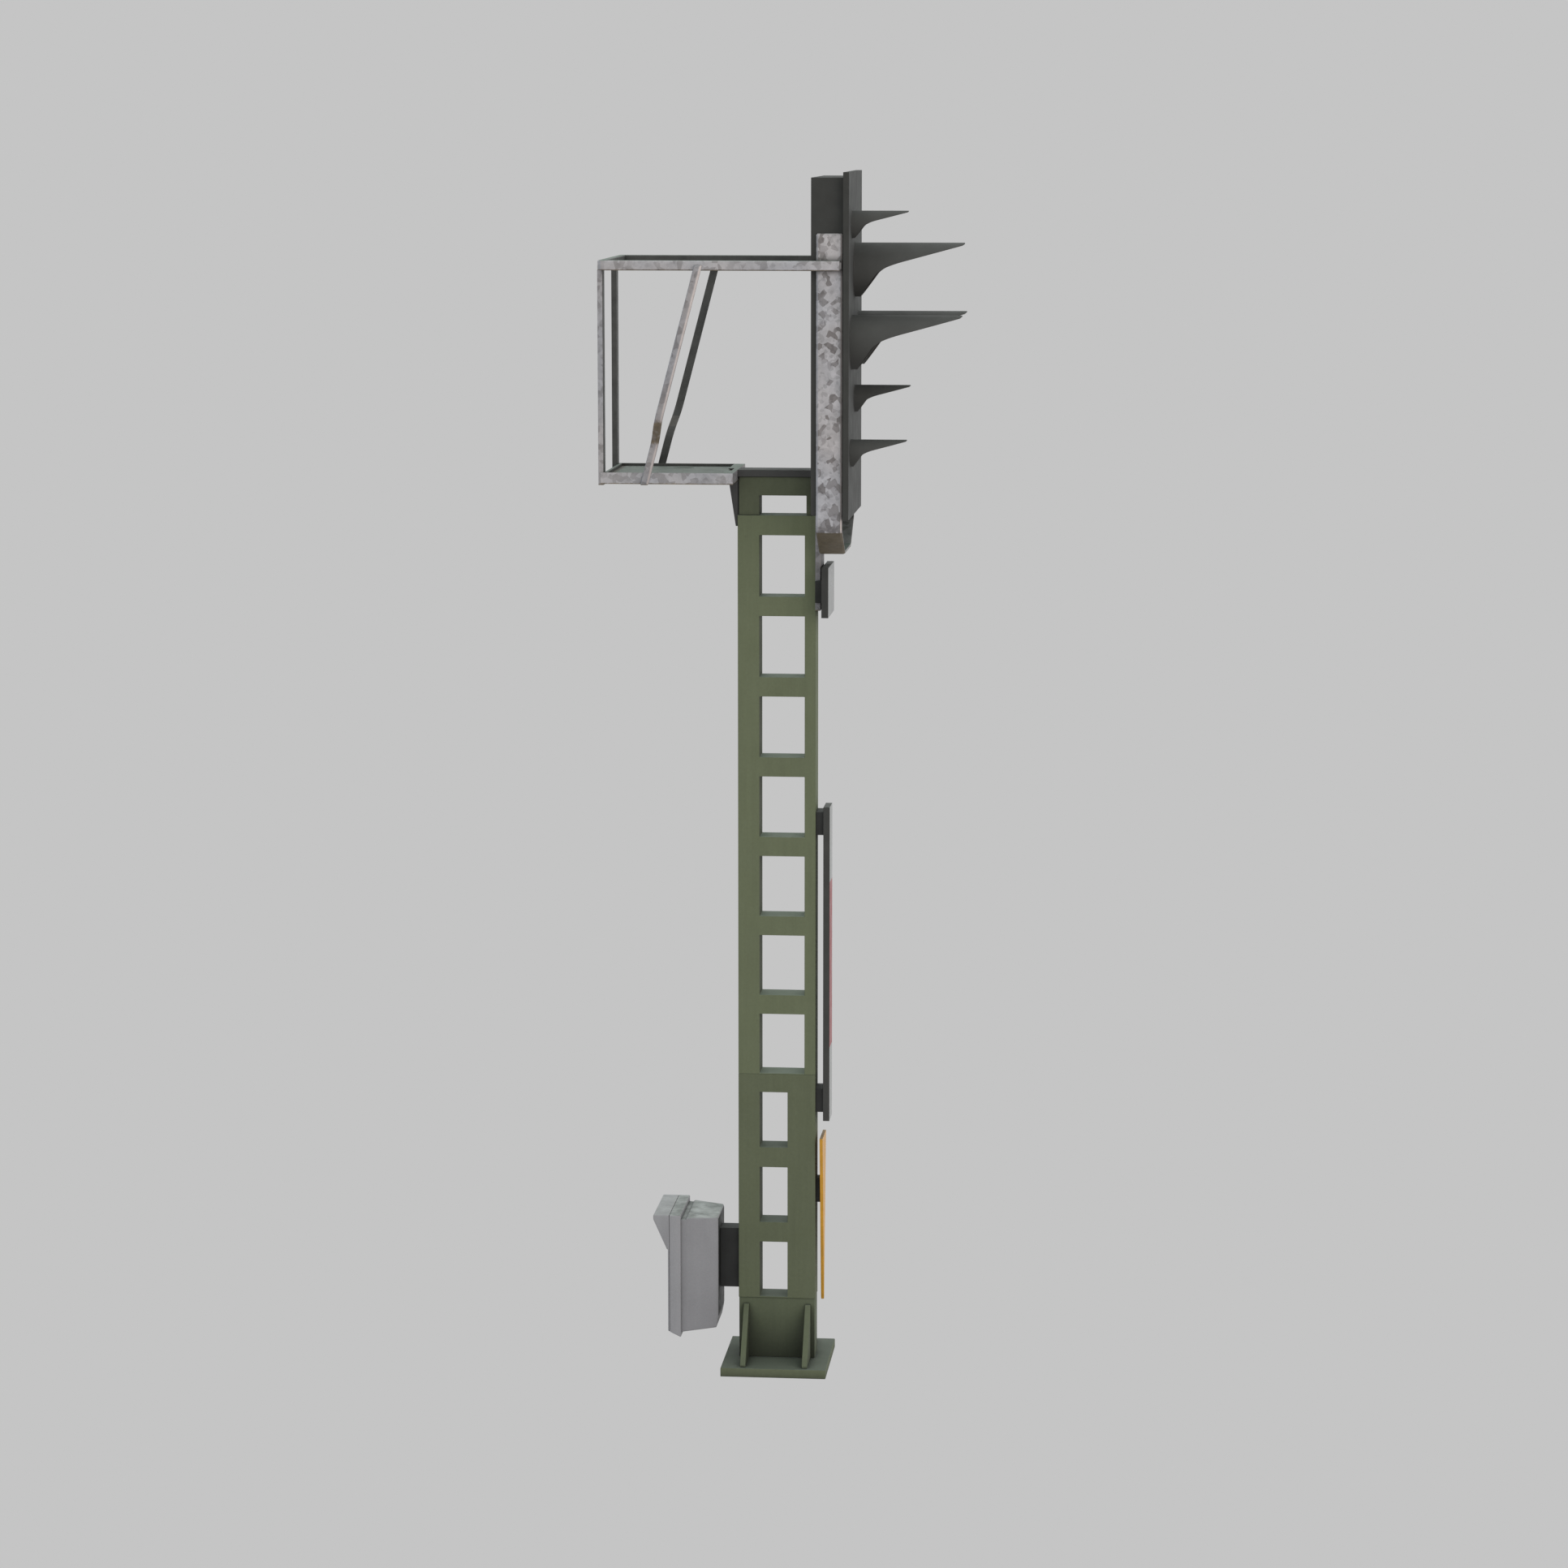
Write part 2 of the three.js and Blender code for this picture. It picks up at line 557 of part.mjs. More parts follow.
// The screen is a sheet with its edges folded back around the housing.
function buildScreen() {
  const edge = rectangle(SCREEN_HALF_WIDTH, SCREEN_BOTTOM, SCREEN_TOP);
  const plate = trayAlongX(edge, SCREEN_REAR, SCREEN_FRONT, HEAD_SHEET);
  const openings = LAMPS.map(({ kind, y, z }) => (
    rodAlongX(y, z, lensRadius(kind) + 1, SCREEN_REAR - 1, SCREEN_FRONT + 1, kind.facets)));
  addPiece(signal, 'screen_plate', cut(plate, ...openings), FINISHES.screenGrey);
}

// The hood is a tube, cut from below along a straight slope that rounds into a long shallow one.
function hoodGeometry({ hoodRadius, hoodLength, facets }) {
  const drop = (share) => hoodRadius - share * 2 * hoodRadius; // height at a share of the diameter
  const reach = (share) => share * hoodLength;
  const clear = 10;
  const belowCut = new THREE.Shape();
  belowCut.moveTo(reach(0.053), -hoodRadius - clear);
  belowCut.lineTo(reach(0.053), drop(1));
  belowCut.lineTo(reach(0.193), drop(0.596));
  belowCut.quadraticCurveTo(reach(0.243), drop(0.45), reach(0.474), drop(0.324));
  belowCut.lineTo(reach(0.987), drop(0.036));
  belowCut.lineTo(reach(1), drop(0.01));
  belowCut.lineTo(reach(1) + clear, drop(0.01));
  belowCut.lineTo(reach(1) + clear, -hoodRadius - clear);
  const tool = extrude(belowCut, 2 * (hoodRadius + clear), 8)
    .rotateX(Math.PI / 2)
    .translate(0, hoodRadius + clear, 0);
  const outer = rodAlongX(0, 0, hoodRadius, 0, hoodLength, facets);
  const inner = rodAlongX(0, 0, hoodRadius - HOOD_SHEET, -1, hoodLength + 1, facets);
  return cut(outer, inner, tool);
}

// A lens disc with a flat back and a domed front, turned about X.
function lensGeometry(kind) {
  const radius = lensRadius(kind);
  const edge = 14;
  const dome = radius * 0.12;
  const steps = 3;
  const profile = [new THREE.Vector2(0, 0), new THREE.Vector2(radius, 0)];
  for (let i = 0; i < steps; i += 1) {
    const r = radius * (1 - i / steps);
    profile.push(new THREE.Vector2(r, edge + dome * (1 - (r / radius) ** 2)));
  }
  profile.push(new THREE.Vector2(0, edge + dome));
  return new THREE.LatheGeometry(profile, kind.facets).rotateZ(-Math.PI / 2);
}

// The lamp case is an open can behind the screen, around the lens, with a cable hole in its back.
function lampCaseGeometry(kind) {
  const radius = lensRadius(kind) + 1;
  const depth = 130;
  const sheet = 3;
  const cableHoleRadius = 8;
  return cut(
    rodAlongX(0, 0, radius + sheet, -depth, 0, kind.facets),
    rodAlongX(0, 0, radius, -depth + sheet, 1, kind.facets),
    rodAlongX(0, -radius / 2, cableHoleRadius, -depth - 1, 0, 12),
  );
}

function buildLamps() {
  const lensSetBack = 20;
  for (const { name, kind, y, z, colour } of LAMPS) {
    const group = addGroup(SCREEN_FRONT, y, z);
    addPiece(group, `hood_${name}`, hoodGeometry(kind), FINISHES.headBlack);
    const glass = { color: colour, roughness: 0.15, metalness: 0 };
    addPiece(group, `lens_${name}`, lensGeometry(kind), glass).position.x = -lensSetBack;
    const lampCase = addPiece(group, `lamp_case_${name}`, lampCaseGeometry(kind), FINISHES.lampCase);
    lampCase.position.x = -HEAD_SHEET;
  }
}

// A flat band wraps the sides of the housing and turns in under it to the hanger plate.
function buildHeadBand() {
  const bandFront = 330;
  const bandThickness = 15;
  const outside = HEAD_HALF_WIDTH + bandThickness;
  const bandTop = 5425;
  const shoulder = 4058;
  const bandBottom = 3938;
  const flatHalfWidth = 175;
  const path = [
    [-outside, bandTop],
    [-outside, shoulder],
    [-flatHalfWidth, bandBottom],
    [flatHalfWidth, bandBottom],
    [outside, shoulder],
    [outside, bandTop],
  ];
  addPiece(signal, 'head_band', prismAlongX(strip(path, bandThickness), HANGER_FRONT, bandFront),
    FINISHES.galvanised);

  const plateBottom = 3664;
  addPiece(signal, 'head_hanger_plate',
    box(HEAD_REAR, HANGER_FRONT, -HANGER_HALF_WIDTH, HANGER_HALF_WIDTH, plateBottom, HEAD_BOTTOM),
    FINISHES.galvanised);
}

// ---------------------------------------------------------------- boards on the front of the mast

function buildBoards() {
  // A saddle bracket, astride the hanger plate, holds the identification board.
  const id = { rear: 218, front: 251, halfWidth: 167, bottom: 3637, top: 3872 };
  const saddle = { halfWidth: HANGER_HALF_WIDTH + 12, bottom: 3702, top: 3805 };
  addPiece(signal, 'id_board_bracket', cut(
    box(MAST_HALF_LENGTH, id.front - BOARD_SHEET, -saddle.halfWidth, saddle.halfWidth,
      saddle.bottom, saddle.top),
    box(MAST_HALF_LENGTH - 1, HANGER_FRONT, -HANGER_HALF_WIDTH, HANGER_HALF_WIDTH,
      saddle.bottom - 1, saddle.top + 1),
  ), FINISHES.black);
  const idOutline = rectangle(id.halfWidth, id.bottom, id.top);
  addPiece(signal, 'id_board', trayAlongX(idOutline, id.rear, id.front, BOARD_SHEET), FINISHES.boardGrey);

  const mastBoard = { rear: 221, front: 252, halfWidth: 72, bottom: 1212, top: 2728 };
  const mastBoardOutline = rectangle(mastBoard.halfWidth, mastBoard.bottom, mastBoard.top);
  addPiece(signal, 'mast_board',
    trayAlongX(mastBoardOutline, mastBoard.rear, mastBoard.front, BOARD_SHEET), FINISHES.boardRed);

  const triangle = { rear: 207, front: 222, halfWidth: 100, tip: 318, top: 1130 };
  const triangleOutline = [[0, triangle.tip], [triangle.halfWidth, triangle.top],
    [-triangle.halfWidth, triangle.top]];
  addPiece(signal, 'triangle_board',
    trayAlongX(triangleOutline, triangle.rear, triangle.front, BOARD_SHEET), FINISHES.yellow);

  // Tube brackets between the front of the mast and the back of each board's sheet.
  const wall = 4;
  const brackets = [
    { name: 'mast_board_bracket_upper', board: mastBoard, halfWidth: 60, bottom: 2593, top: 2704 },
    { name: 'mast_board_bracket_lower', board: mastBoard, halfWidth: 60, bottom: 1253, top: 1367 },
    { name: 'triangle_board_bracket', board: triangle, halfWidth: 40, bottom: 807, top: 922 },
  ];
  for (const { name, board, halfWidth, bottom, top } of brackets) {
    addPiece(signal, name,
      tubeAlongX(MAST_HALF_LENGTH, board.front - BOARD_SHEET, halfWidth, bottom, top, wall),
      FINISHES.black);
  }
}

// ---------------------------------------------------------------- telephone box

const PHONE_HINGE_HEIGHTS = [300, 660];
const PHONE_EYE_LENGTH = 30;
const PHONE_LOCK = { y: -140, z: 470 };

// The case tapers from the collar to its back, with its lower back corner cut off.
function phoneCase(inset) {
  const front = PHONE_COLLAR_BACK - 1;
  const side = [
    [front, 188 + inset],
    [-287, 201 + inset],
    [PHONE_BACK - inset, 254 + inset],
    [PHONE_BACK - inset, 743 - inset],
    [front, 751 - inset],
  ];
  const frontHalfWidth = 188 - inset;
  const backHalfWidth = 134 - inset;
  const plan = [
    [front, -frontHalfWidth],
    [PHONE_BACK + 1, -backHalfWidth],
    [PHONE_BACK + 1, backHalfWidth],
    [front, frontHalfWidth],
  ];
  return common(prismAlongY(side, -200, 200), prismAlongZ(plan, 150, 800));
}

// The collar is a frame with a lip around its front opening.
function phoneCollar() {
  const side = [
    [PHONE_COLLAR_BACK, 167],
    [PHONE_COLLAR_BACK, PHONE_TOP],
    [PHONE_COLLAR_FRONT, PHONE_TOP],
    [PHONE_COLLAR_FRONT, 193],
  ];
  return prismAlongY(side, -PHONE_HALF_WIDTH, PHONE_HALF_WIDTH);
}

// Two fixed eyes with a pin between them, on the right-hand side of the collar.
function phoneHingeLug(z) {
  const half = PHONE_EYE_LENGTH / 2 + AXIAL_GAP;
  const { x, y } = PHONE_HINGE;
  const eyes = [[z - half - 14, z - half], [z + half, z + half + 14]].flatMap(([low, high]) => [
    rodAlongZ(x, y, EYE_RADIUS, low, high),
    box(x + 1, x + 16, PHONE_HALF_WIDTH - 1, y + 3, low, high),
  ]);
  return [rodAlongZ(x, y, PIN_RADIUS, z - half - 1, z + half + 1), ...eyes];
}

function buildPhoneBody() {
  const lip = 4;
  const hook = { front: -350, inside: 14, outside: 26, bottom: 540, top: 555 };
  const backOfFrame = PHONE_COLLAR_BACK - PHONE_WALL;
  const hollow = [
    box(PHONE_COLLAR_FRONT - 1, PHONE_COLLAR_FRONT + lip + 1, -160, 160, 235, 725),
    box(PHONE_COLLAR_FRONT + lip, backOfFrame, -190, 190, 212, PHONE_TOP - 8),
    box(backOfFrame - 1, PHONE_COLLAR_BACK + 1, -170, 170, 212, 740),
    phoneCase(PHONE_WALL),
  ];
  const hooks = [[hook.inside, hook.outside], [-hook.outside, -hook.inside]].map(([y0, y1]) => (
    box(hook.front, PHONE_BACK - PHONE_WALL + 1, y0, y1, hook.bottom, hook.top)));
  const shell = cut(join(phoneCase(0), phoneCollar()), ...hollow);
  const body = join(shell, ...hooks, ...PHONE_HINGE_HEIGHTS.flatMap(phoneHingeLug));
  addPiece(signal, 'telephone_case', body, FINISHES.phoneGrey);

  const bracket = { halfWidth: 48, bottom: 381, top: 672 };
  addPiece(signal, 'telephone_bracket', tubeAlongX(PHONE_BACK, -MAST_HALF_LENGTH,
    bracket.halfWidth, bracket.bottom, bracket.top, PHONE_WALL), FINISHES.black);
}

// The door is a flat lid with a rain hood across its top.
function buildPhoneDoor() {
  const hoodFront = -581;
  const hoodSheet = 8;
  const side = [
    [PHONE_DOOR_BACK, 194],
    [PHONE_DOOR_BACK, PHONE_TOP],
    [hoodFront, PHONE_TOP],
    [hoodFront, 745],
    [-515, 598],
    [PHONE_DOOR_FRONT, 598],
    [PHONE_DOOR_FRONT, 197],
  ];
  const lid = prismAlongY(side, -PHONE_HALF_WIDTH, PHONE_HALF_WIDTH);
  const hollow = [
    [PHONE_DOOR_BACK + 1, 618],
    [-514, 618],
    [hoodFront + hoodSheet, 749],
    [hoodFront + hoodSheet, PHONE_TOP - hoodSheet],
    [PHONE_DOOR_BACK + 1, PHONE_TOP - hoodSheet],
  ];
  const insideOfHood = prismAlongY(hollow, -PHONE_HALF_WIDTH + hoodSheet, PHONE_HALF_WIDTH - hoodSheet);
  const { x, y } = PHONE_HINGE;
  const halfEye = PHONE_EYE_LENGTH / 2;
  const eyes = PHONE_HINGE_HEIGHTS.flatMap((z) => [
    rodAlongZ(x, y, EYE_RADIUS, z - halfEye, z + halfEye),
    box(PHONE_DOOR_FRONT, x - 1, PHONE_HALF_WIDTH - 1, y, z - halfEye, z + halfEye),
  ]);
  const holes = [
    ...PHONE_HINGE_HEIGHTS.map((z) => rodAlongZ(x, y, EYE_BORE, z - 40, z + 40)),
    rodAlongX(PHONE_LOCK.y, PHONE_LOCK.z, LATCH_RADIUS + 0.5,
      PHONE_DOOR_FRONT - 1, PHONE_DOOR_BACK + 1, 24),
  ];
  addPiece(signal, 'telephone_door', cut(join(lid, ...eyes), insideOfHood, ...holes), FINISHES.phoneGrey);

  const tongueRear = PHONE_COLLAR_FRONT + 7;
  const barrel = join(
    rodAlongX(PHONE_LOCK.y, PHONE_LOCK.z, LATCH_RADIUS, PHONE_DOOR_FRONT - 1, tongueRear + 1, 24),
    box(tongueRear, tongueRear + 4, PHONE_LOCK.y - 8, PHONE_LOCK.y + 8,
      PHONE_LOCK.z - 8, PHONE_LOCK.z + 36),
  );
  const keyHole = box(PHONE_DOOR_FRONT - 2, PHONE_DOOR_FRONT + 6, PHONE_LOCK.y - 4, PHONE_LOCK.y + 4,
    PHONE_LOCK.z - 4, PHONE_LOCK.z + 4);
  addPiece(signal, 'telephone_lock', cut(barrel, keyHole), FINISHES.lock);
}

// The handset hangs by its ear cup on the two hooks in the case.
function buildHandset() {
  const cupRadius = 28;
  const cupHeights = [410, 580];
  const handleHalfWidth = 11;
  const handle = box(-374, -352, -handleHalfWidth, handleHalfWidth, 404, 586);
  const cups = cupHeights.map((z) => rodAlongX(0, z, cupRadius, -353, -328, 24));
  addPiece(signal, 'telephone_handset', join(handle, ...cups), FINISHES.black);
}

// ---------------------------------------------------------------- assembly

buildFoot();
buildMast();
buildPlatform();
buildGuardRail();
buildHousing();
buildHeadDoor();
buildScreen();
buildLamps();
buildHeadBand();
buildBoards();
buildPhoneBody();
buildPhoneDoor();
buildHandset();

export default signal;
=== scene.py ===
"""Looks for a railway colour-light signal on a ladder mast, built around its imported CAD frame.

Lengths are metres in the CAD part's frame: +Z up, +X the way the lamps face, -Y towards the camera.
"""

import math

import bmesh
import bpy
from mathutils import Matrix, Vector


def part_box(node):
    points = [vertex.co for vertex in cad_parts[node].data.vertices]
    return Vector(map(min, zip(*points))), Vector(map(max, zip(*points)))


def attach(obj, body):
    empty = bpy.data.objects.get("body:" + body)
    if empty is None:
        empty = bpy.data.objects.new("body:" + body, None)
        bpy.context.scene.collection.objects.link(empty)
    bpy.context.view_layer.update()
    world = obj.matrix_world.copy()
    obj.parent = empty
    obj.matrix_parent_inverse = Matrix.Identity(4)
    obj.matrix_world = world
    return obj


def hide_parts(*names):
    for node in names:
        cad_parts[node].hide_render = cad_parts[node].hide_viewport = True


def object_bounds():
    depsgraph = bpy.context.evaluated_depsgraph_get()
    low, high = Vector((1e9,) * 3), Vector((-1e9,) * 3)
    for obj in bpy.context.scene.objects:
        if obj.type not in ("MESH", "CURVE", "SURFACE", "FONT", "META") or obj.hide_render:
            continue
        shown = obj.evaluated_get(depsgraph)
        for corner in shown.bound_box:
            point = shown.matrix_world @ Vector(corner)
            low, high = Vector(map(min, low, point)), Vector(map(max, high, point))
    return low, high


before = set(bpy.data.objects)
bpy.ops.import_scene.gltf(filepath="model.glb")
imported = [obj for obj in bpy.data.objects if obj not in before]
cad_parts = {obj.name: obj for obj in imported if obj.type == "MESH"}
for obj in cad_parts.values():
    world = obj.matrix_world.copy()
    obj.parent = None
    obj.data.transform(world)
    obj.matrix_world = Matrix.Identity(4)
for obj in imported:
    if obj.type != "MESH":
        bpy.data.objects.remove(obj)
CAD_LOW, CAD_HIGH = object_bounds()
MIDDLE = (CAD_LOW + CAD_HIGH) / 2

MM = 0.001

# Camera: degrees, and metres from the middle of the object
CAMERA_AZIMUTH = 5.31
CAMERA_ELEVATION = 8.68
CAMERA_DISTANCE = 20.828
CAMERA_LENS = 100.92
AIM_OFFSET = Vector((-0.0012, 0.0, -0.0255))

# Light, as linear radiance
BACKGROUND = (0.558, 0.558, 0.558)
SKY_HORIZON = (0.70, 0.735, 0.725)
SKY_TOP = (1.03, 1.07, 1.05)
SOFTBOX_COLOUR = (1.0, 0.87, 0.80)
SOFTBOX_WATTS = 125.0
SOFTBOX_SIZE = (5.0, 6.0)
SOFTBOX_PLACE = Vector((5.8, -5.6, 4.6))
GROUND_BOUNCE = (0.455, 0.455, 0.455)

# Telephone box, as places along X
COLLAR_FRONT, COLLAR_BACK = -0.504, -0.450
BODY_BACK = -0.275

SIGNAL_NAMES = ["white_top_left", "red", "green", "yellow", "white_centre", "white_low_left"]


# ---- node building blocks

class Nodes:
    """Builds the nodes of a material or a world. Inputs take plain values or sockets.

    x, y and z are the place in the CAD frame, and facing, sideways and up are the normal's parts
    along them.
    """

    def __init__(self, owner):
        self.owner = owner
        owner.use_nodes = True
        self.tree = owner.node_tree
        self.tree.nodes.clear()
        coordinates = self.node("TexCoord")
        self.direction = coordinates.outputs["Generated"]
        self.position = coordinates.outputs["Object"]
        self.x, self.y, self.z = self.split(self.position)
        self.facing, self.sideways, self.up = self.split(coordinates.outputs["Normal"])

    def node(self, kind, inputs=None, **settings):
        made = self.tree.nodes.new("ShaderNode" + kind)
        for key, value in settings.items():
            setattr(made, key, value)
        for key, value in (inputs or {}).items():
            self.feed(made.inputs[key], value)
        return made

    def feed(self, socket, value):
        if isinstance(value, bpy.types.NodeSocket):
            self.tree.links.new(value, socket)
        elif socket.type == "RGBA":
            socket.default_value = (*value[:3], 1.0)
        else:
            socket.default_value = value

    def math(self, operation, a, b=0.0):
        return self.node("Math", {0: a, 1: b}, operation=operation).outputs[0]

    def times(self, product, *factors):
        for factor in factors:
            product = self.math("MULTIPLY", product, factor)
        return product

    def clamp(self, value, low, high, start=0.0, end=1.0):
        """start where the value is low, end where it is high, with a straight ramp between."""
        inputs = {"Value": value, "From Min": low, "From Max": high, "To Min": start, "To Max": end}
        return self.node("MapRange", inputs, clamp=True).outputs["Result"]

    def split(self, vector):
        parts = self.node("SeparateXYZ", {"Vector": vector})
        return parts.outputs["X"], parts.outputs["Y"], parts.outputs["Z"]

    def mottle(self, colour, low, high, scale, detail=3.0, rough=0.5):
        """The colour, varied by noise between two shares of itself."""
        return self.shade(colour, low, high, self.noise(scale, detail, rough))

    def noise(self, scale, detail=3.0, rough=0.5, vector=None):
        inputs = {"Vector": vector or self.position, "Scale": scale, "Detail": detail, "Roughness": rough}
        return self.node("TexNoise", inputs).outputs[0]

    def streaks(self, x, y, z, detail=4.0, rough=0.6):
        """Noise with its own scale along each axis, drawn out along the axis with the lowest."""
        place = self.node("VectorMath", {0: self.position, 1: (x, y, z)}, operation="MULTIPLY")
        return self.noise(1.0, detail, rough, place.outputs[0])

    def cells(self, scale):
        """A random value for each cell of a Voronoi pattern."""
        voronoi = self.node("TexVoronoi", {"Vector": self.position, "Scale": scale})
        colour = self.node("SeparateColor", {"Color": voronoi.outputs["Color"]})
        return colour.outputs["Red"]

    def mix(self, share, a, b, blend="MIX"):
        inputs = {0: share, 6: a, 7: b}
        return self.node("Mix", inputs, data_type="RGBA", blend_type=blend).outputs[2]

    def cover(self, colour, layer, where, strength):
        """The colour under a layer, which hides it by strength where the mask is 1."""
        return self.mix(self.times(where, strength), colour, layer)

    def steps(self, value, stops):
        """The last colour of the (place, colour) stops whose place the value has reached."""
        made = self.node("ValToRGB", {"Fac": value})
        made.color_ramp.interpolation = "CONSTANT"
        elements = made.color_ramp.elements
        while len(elements) < len(stops):
            elements.new(0.5)
        for element, (place, colour) in zip(elements, stops):
            element.position = place
            element.color = (*colour, 1.0)
        return made.outputs["Color"]

    def dim(self, colour, factor):
        grey = self.node("CombineColor", {"Red": factor, "Green": factor, "Blue": factor})
        return self.mix(1.0, colour, grey.outputs["Color"], "MULTIPLY")

    def shade(self, colour, low, high, value):
        """The colour times a factor that runs from low to high as the value runs from 0.3 to 0.7."""
        return self.dim(colour, self.clamp(value, 0.3, 0.7, low, high))

    def painted_corner_shade(self, colour, darkest, distance):
        """Painted shade: the colour, darkened towards a share of itself where the surface lies in a
        corner.
        """
        corner = self.node("AmbientOcclusion", {"Distance": distance}, samples=4).outputs["AO"]
        return self.dim(colour, self.clamp(corner, 0.3, 0.9, darkest, 1.0))

    def bump(self, height, distance, below=None):
        inputs = {"Height": height, "Distance": distance, "Strength": 1.0}
        if below is not None:
            inputs["Normal"] = below
        return self.node("Bump", inputs).outputs["Normal"]

    def finish(self, colour, roughness, normal=None, **inputs):
        values = {"Base Color": colour, "Roughness": roughness, **inputs}
        if normal is not None:
            values["Normal"] = normal
        surface = self.node("BsdfPrincipled", values)
        self.node("OutputMaterial", {"Surface": surface.outputs["BSDF"]})
        return self.owner


# ---- materials

def new_material(name):
    return Nodes(bpy.data.materials.new(name))


RUBBED_PAINT = (0.085, 0.085, 0.055)
SHADED_REVEAL = (0.02, 0.024, 0.015)
PAINT_SPECK = (0.05, 0.054, 0.05)
COOL_ZINC = (0.505, 0.495, 0.525)
WARM_ZINC = (0.535, 0.505, 0.515)
ZINC_TOP = (0.15, 0.185, 0.16)
ZINC_INSIDE = (0.056, 0.055, 0.052)
RAIL_CROSSING_SHADE = (0.13, 0.125, 0.12)
DARK_RUST, LIGHT_RUST = (0.085, 0.070, 0.045), (0.23, 0.175, 0.105)
STRUT_STAIN = (0.175, 0.135, 0.080)
BAND_STAIN_AND_SHADE = (0.145, 0.118, 0.078)
FLOOR_SPOT = (0.12, 0.085, 0.055)
FLOOR_EDGE_SHADE = (0.075, 0.062, 0.048)
BOARD_DUST = (0.066, 0.070, 0.065)
COLLAR_GREY = (0.328, 0.322, 0.34)
DARK_DUST, PALE_DUST = (0.165, 0.18, 0.172), (0.36, 0.38, 0.375)
MAT_BLACK = (0.011, 0.012, 0.011)

# Places along X: behind the first, zinc belongs to the rear bars, and the floor takes painted shade in
# the span along the rear beam
REAR_BARS = -0.74
FLOOR_SHADE_SPAN = (-0.736, -0.748)

# Painted highlight, shade and reflection on rounded zinc edges: colour, strength, and where it comes and
# goes as the normal turns to +X
PAINTED_EDGE_TONES = [
    ((0.64, 0.57, 0.55), 0.75, (0.24, 0.42), (0.68, 0.56)),
    ((0.17, 0.165, 0.16), 0.7, (0.58, 0.72), (0.97, 0.9)),
    ((0.34, 0.345, 0.385), 0.6, (-0.2, -0.4), (-0.9, -0.75)),
]


def paint_bump(mat):
    """Brush-and-roller texture of thick paint: broad waves under fine orange peel."""
    waves = mat.bump(mat.noise(14.0, 2.0), 1.2 * MM)
    return mat.bump(mat.noise(260.0, 2.0), 0.12 * MM, waves)


def green_paint(name, light, painted_top_tone, corner_shade_reach=None, reveal_limit=None):
    """Olive paint, faded unevenly, with rain streaks, and upper faces in a top colour that is painted sky
    reflection and shade.

    Corners get painted shade within the given reach, and so do window edges that face +X behind
    reveal_limit.
    """
    mat = new_material(name)
    dark = [channel * 0.92 for channel in light]
    patches = mat.noise(2.2, 4.0, 0.6)
    colour = mat.mix(mat.clamp(patches, 0.35, 0.65), dark, light)
    colour = mat.shade(colour, 0.95, 1.05, mat.streaks(38.0, 38.0, 1.6))
    colour = mat.mottle(colour, 0.96, 1.04, 70.0, 3.0)
    rubbed = mat.clamp(mat.noise(24.0, 5.0, 0.7), 0.68, 0.74)
    colour = mat.cover(colour, RUBBED_PAINT, rubbed, 0.35)
    # Upper faces take the top colour: bluer as a painted sky reflection, and darker on the foot and base
    # plate as painted shade.
    colour = mat.cover(colour, painted_top_tone, mat.clamp(mat.up, 0.6, 0.95), 0.8)
    # Painted shade on the window edges that face +X.
    if reveal_limit is not None:
        behind = mat.math("LESS_THAN", mat.x, reveal_limit)
        inside = mat.times(mat.clamp(mat.facing, 0.6, 0.9), behind)
        colour = mat.cover(colour, SHADED_REVEAL, inside, 0.65)
    # Painted shade in corners.
    if corner_shade_reach is not None:
        colour = mat.painted_corner_shade(colour, 0.2, corner_shade_reach)
    roughness = mat.clamp(mat.noise(9.0), -1.6, 1.2)
    return mat.finish(colour, roughness, paint_bump(mat))


def black_paint(name, colour, dust, front=None):
    """Black paint, dusty on top. A front colour is a lighter colour on faces towards +X: painted light
    from that side.
    """
    mat = new_material(name)
    if front is not None:
        # Painted light on faces towards +X.
        colour = mat.mix(mat.clamp(mat.facing, 0.6, 0.9), colour, front)
    base = mat.mottle(colour, 0.88, 1.12, 3.0, 4.0, 0.6)
    base = mat.shade(base, 0.97, 1.03, mat.streaks(30.0, 30.0, 1.5))
    speckle = mat.clamp(mat.noise(55.0, 5.0, 0.7), 0.62, 0.8)
    base = mat.cover(base, PAINT_SPECK, speckle, 0.5)
    base = mat.cover(base, dust, mat.clamp(mat.up, 0.6, 0.95), 0.6)
    roughness = mat.clamp(mat.noise(11.0), -1.3, 1.3)
    return mat.finish(base, roughness, paint_bump(mat))


def zinc_outward(mat):
    """1 on faces that look away from the middle of the platform, 0 on faces that look into it."""
    side = mat.times(mat.sideways, mat.math("SIGN", mat.y))
    rear = mat.math("LESS_THAN", mat.x, REAR_BARS)
    back = mat.times(mat.facing, -1.0, rear)
    lowest = mat.math("MINIMUM", side, back)
    return mat.clamp(lowest, -0.5, -0.25)


